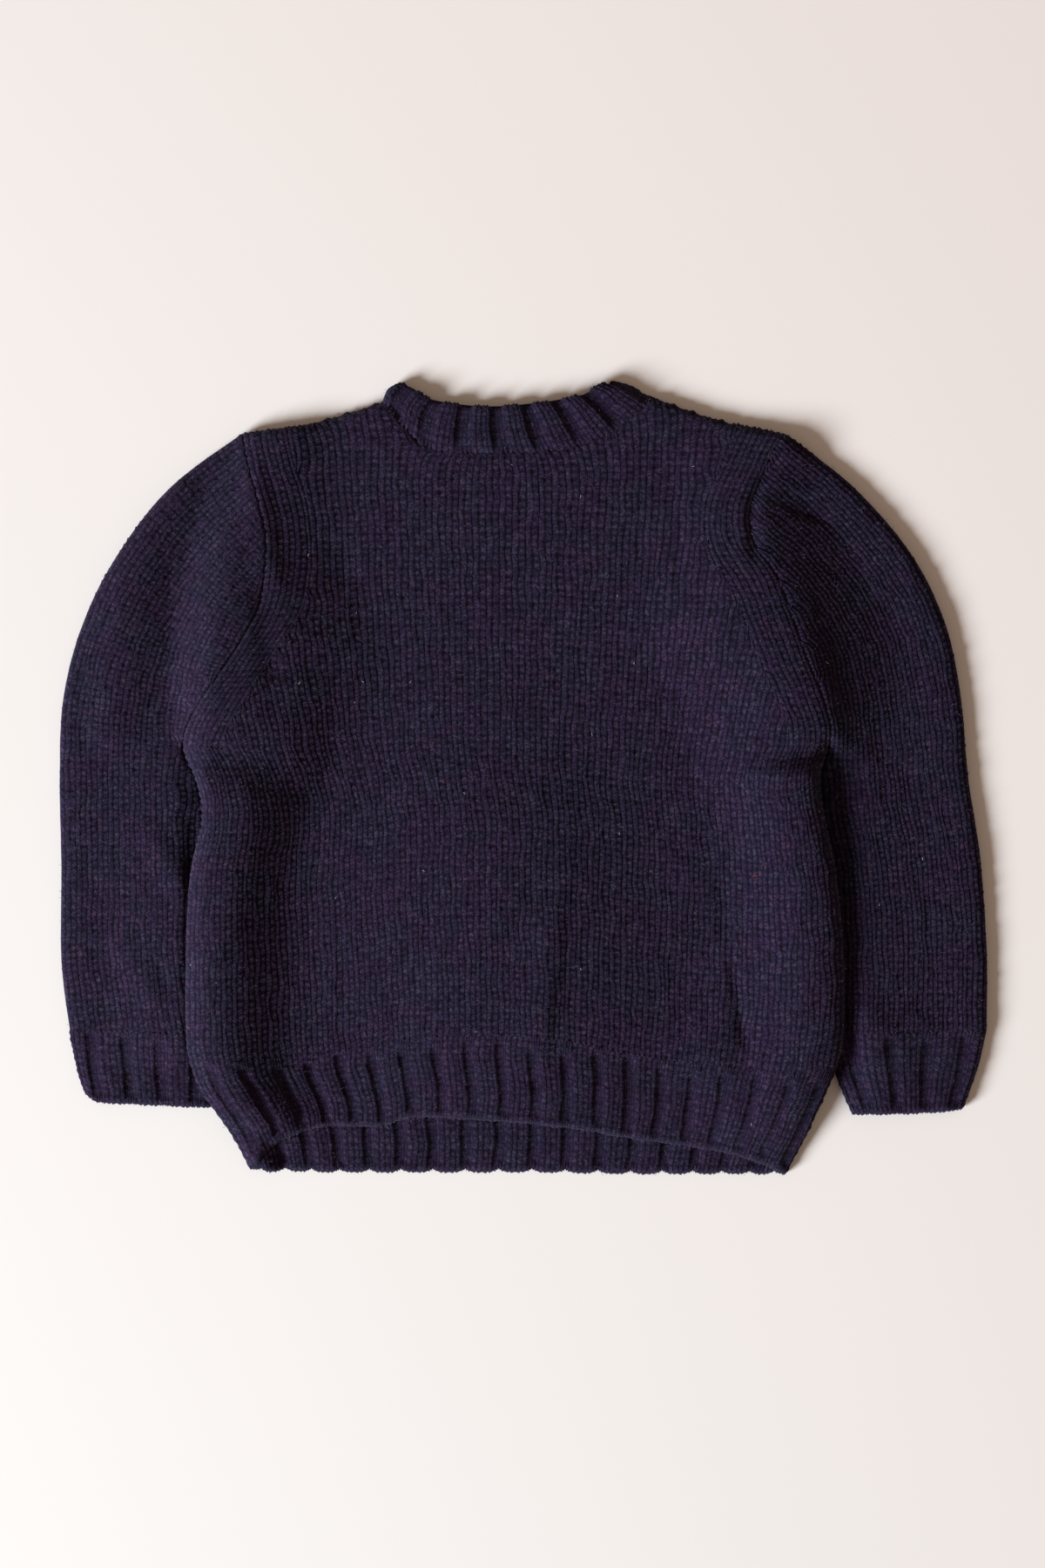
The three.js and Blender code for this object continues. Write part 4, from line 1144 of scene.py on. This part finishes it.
# ==============================
# The cuffs: the same rib of two knit and two purl wales, a flattened tube like the sleeve.
# They are knitted on to the sleeves' lower ends and cast off.
# ==============================
CUFF_COURSES = 10
CUFF_REPEATS, CUFF_START = 4.08, 0.22     # on each side of the flattened tube
CUFF_SCALLOP = 0.5
CUFF_EDGE_SHARE = 0.4               # of the sleeve's folds, this much is left at the cuff's edge
CUFF_EDGE_Y, CUFF_TOP_Y = -196, -150


def tube_rib(name, node, patches, folds, ends, rise, rib_depth):
    """Two layers of rib joined at their sides. patches: upper then lower (grid, purl, courses that fade out)."""
    def air(x, y):
        return LAYER_GAP + rise(x, y)

    shell = knit_shell([rib_layer(*patch, layer, on_floor, air, folds, ends(patch[0]))
                        for patch, layer in zip(patches, (+1, -1))])
    piece = knitted(name, node, "rib", shell, leg_height=RIB_LEG, rib_depth=rib_depth)
    nap_on(piece, 6)


def cuff(name, node, column, foot, top, left, right, flat):
    edges, purl = rib_columns(CUFF_REPEATS, CUFF_START, HEM_SHARES)
    grid = rib_patch(line_at(foot), line_at(top), line_at(left), line_at(right), edges, CUFF_COURSES,
                     CUFF_SCALLOP, purl)
    tube_rib(name, node, [(grid, purl, CUFF_PLAIN)] * 2, [(grid[:, -1], SLEEVE_ROLL), (grid[:, 0][::-1], SLEEVE_ROLL)],
             lambda plan: [(plan[0], EDGE_REACH, EDGE_DEPTH)],
             lambda x, y: sleeve_rise(column, x, y) * (CUFF_EDGE_SHARE + (1 - CUFF_EDGE_SHARE)
                                                       * ease(CUFF_EDGE_Y, CUFF_TOP_Y, y)),
             RIB_DEPTH)


cuff("left_cuff_rib", "left_cuff", 1,
     foot=[(-261.5, -187), (-255.5, -192.5), (-236, -193.8), (-187, -196)], top=[(-271, -150), (-184.5, -151)],
     left=[(-261.5, -187), (-267.3, -169), (-271, -150)], right=[(-187, -196), (-184.5, -151)], flat=(0.174, 0.046))
cuff("right_cuff_rib", "right_cuff", 2,
     foot=[(195, -200), (240, -199), (261, -197)], top=[(178.8, -151), (275, -150)],
     left=[(195, -200), (184, -174), (178.8, -151)], right=[(261, -197), (270, -172), (275, -150)],
     flat=(0.190, 0.049))

# ==============================
# The neckband: a wider rib, picked up round the neck and cast off. It turns over at both
# shoulders, so its back stands above the neck and its front lies hidden beneath.
# ==============================
NECK_COURSES = 7
NECK_SHARES = (0.29, 0.21)          # its purl wales stand wider
NECK_RIB_DEPTH = 1.75
NECK_SEAM_DIP = (5.0, 0.8)
NECK_RISE, NECK_RISE_REACH = 1.6, 8     # it stands off the cloth beneath, but not at the seam
NECK_ROLL = 7.0
LEFT_TURN = [(-85, 223.5), (-81.5, 231.5), (-75, 235)]       # where the band turns over at each shoulder
RIGHT_TURN = [(77.5, 225.5), (68, 230), (58, 235), (51, 236)]
BACK_BAND_EDGE = [(-75, 235), (-67, 233.5), (-60, 227.5), (-48, 223.5), (-20, 221), (14, 224), (34, 228.5), (43, 233.5),
                  (51, 236)]
FRONT_BAND_EDGE = [(-75, 235), (-53, 202), (-32, 180), (-3, 169), (25, 181), (42, 204), (51, 236)]
BAND_NECK = [(-85, 223.5), *[(x, y - 1.6) for x, y in BACK_NECK[1:-1]], (77.5, 225.5)]
BAND_FRONT_NECK = [(-85, 223.5), *[(x, y - 0.7) for x, y in FRONT_NECK[1:-1]], (77.5, 225.5)]
BACK_NECK_REPEATS, FRONT_NECK_REPEATS, NECK_START = 7.5, 10, 0.3
patches = []
for seam, rim, repeats in ((BAND_NECK, BACK_BAND_EDGE, BACK_NECK_REPEATS),
                           (BAND_FRONT_NECK, FRONT_BAND_EDGE, FRONT_NECK_REPEATS)):
    edges, purl = rib_columns(repeats, NECK_START, NECK_SHARES)
    patches.append((rib_patch(line_at(seam), line_at(rim), line_at(LEFT_TURN), line_at(RIGHT_TURN),
                              edges, NECK_COURSES, 0.0, purl), purl, 0))
tube_rib("neckband_rib", "neckband", patches,
         [(line_at(turn)(np.linspace(0, 1, 12)), NECK_ROLL) for turn in (LEFT_TURN, RIGHT_TURN)],
         lambda plan: [(plan[0], *NECK_SEAM_DIP), (plan[-1], EDGE_REACH, EDGE_DEPTH)],
         lambda x, y: NECK_RISE * ease(0, NECK_RISE_REACH, nearest_on(points(BAND_NECK), x, y)[0]),
         NECK_RIB_DEPTH)

# ==============================
# Lint: a few specks of pale dust and one red thread end that cling to the back and the sleeves.
# Each is a curl of fibre about a millimetre long, lying loose on the yarn.
# ==============================
LINT = [  # x, y, length in millimetres
    (-128, 132, 1.6), (-100, 98, 1.2), (-133, 56, 1.5), (-96, 57, 1.3), (-101, 45, 1.3), (-68, 57, 1.6),
    (-8, 186, 1.5), (33, 167, 1.7), (100, 185, 1.4), (55, 108, 1.2), (65, 68, 1.3), (40, 26, 1.4), (178, 68, 2.0),
    (-197, -110, 1.6), (-36, -9, 1.3), (-60, -55, 1.3), (-29, -150, 1.4), (-112, -71, 1.3), (58, -29, 1.2),
    (56, -33, 1.3), (33, -113, 1.4), (210, -75, 1.4), (236, -48, 1.4), (134, -205, 1.5), (-181, -120, 1.4)]
RED_THREAD = (136, -58, 3.2)
LINT_RADIUS = 0.00011
SPECK_BEND = ((-0.5, 0, 0), (0, 0.35, 0.25), (0.5, -0.1, 0.05))
SPECK_LENGTH, SPECK_LEAN = 0.0014, 0.2
SPECK_LIFT = 0.0002
ABOVE_ALL = 0.2


def speck_tree():
    """Geometry nodes that set a curl of fibre on each point."""
    tree, given = new_tree("specks", {"Radius": 0.0, "Seed": 0}, "Fibre")
    spots = make(tree, "GeometryNodeMeshToPoints", {"Mesh": given["Geometry"]})
    return set_fibres(tree, given, spots, SPECK_BEND, 5, given["Radius"] / SPECK_LENGTH,
                      any_turn(tree, given["Seed"], SPECK_LEAN), attribute(tree, "length"))


def specks(name, places, colour, seed):
    """Curls of fibre on the cloth that lies uppermost at each place."""
    clothes = [BVHTree.FromObject(cloth, bpy.context.evaluated_depsgraph_get())
               for cloth in (back, back_rib, left_sleeve, right_sleeve)]
    found = []
    for x, y, length in places:
        start = Vector(((x + PLACE_SHIFT[0]) * MM, (y + PLACE_SHIFT[1]) * MM, ABOVE_ALL))
        hits = [cloth.ray_cast(start, Vector((0, 0, -1)))[0] for cloth in clothes]
        top = max((hit for hit in hits if hit), key=lambda hit: hit.z)
        found.append((top + Vector((0, 0, SPECK_LIFT)), length * MM))
    mesh = bpy.data.meshes.new(name)
    mesh.from_pydata([place for place, _ in found], [], [])
    mesh.attributes.new("length", "FLOAT", "POINT").data.foreach_set("value", [length for _, length in found])
    piece = new_object(name, mesh)
    apply_tree(piece, place_specks, radius=LINT_RADIUS, seed=seed, fibre=plain_material(name, colour, 0.9))
    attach(piece, "root")


place_specks = speck_tree()
specks("lint", LINT, (0.50, 0.47, 0.50), 3)
specks("red_thread_end", [RED_THREAD], (0.32, 0.03, 0.05), 5)
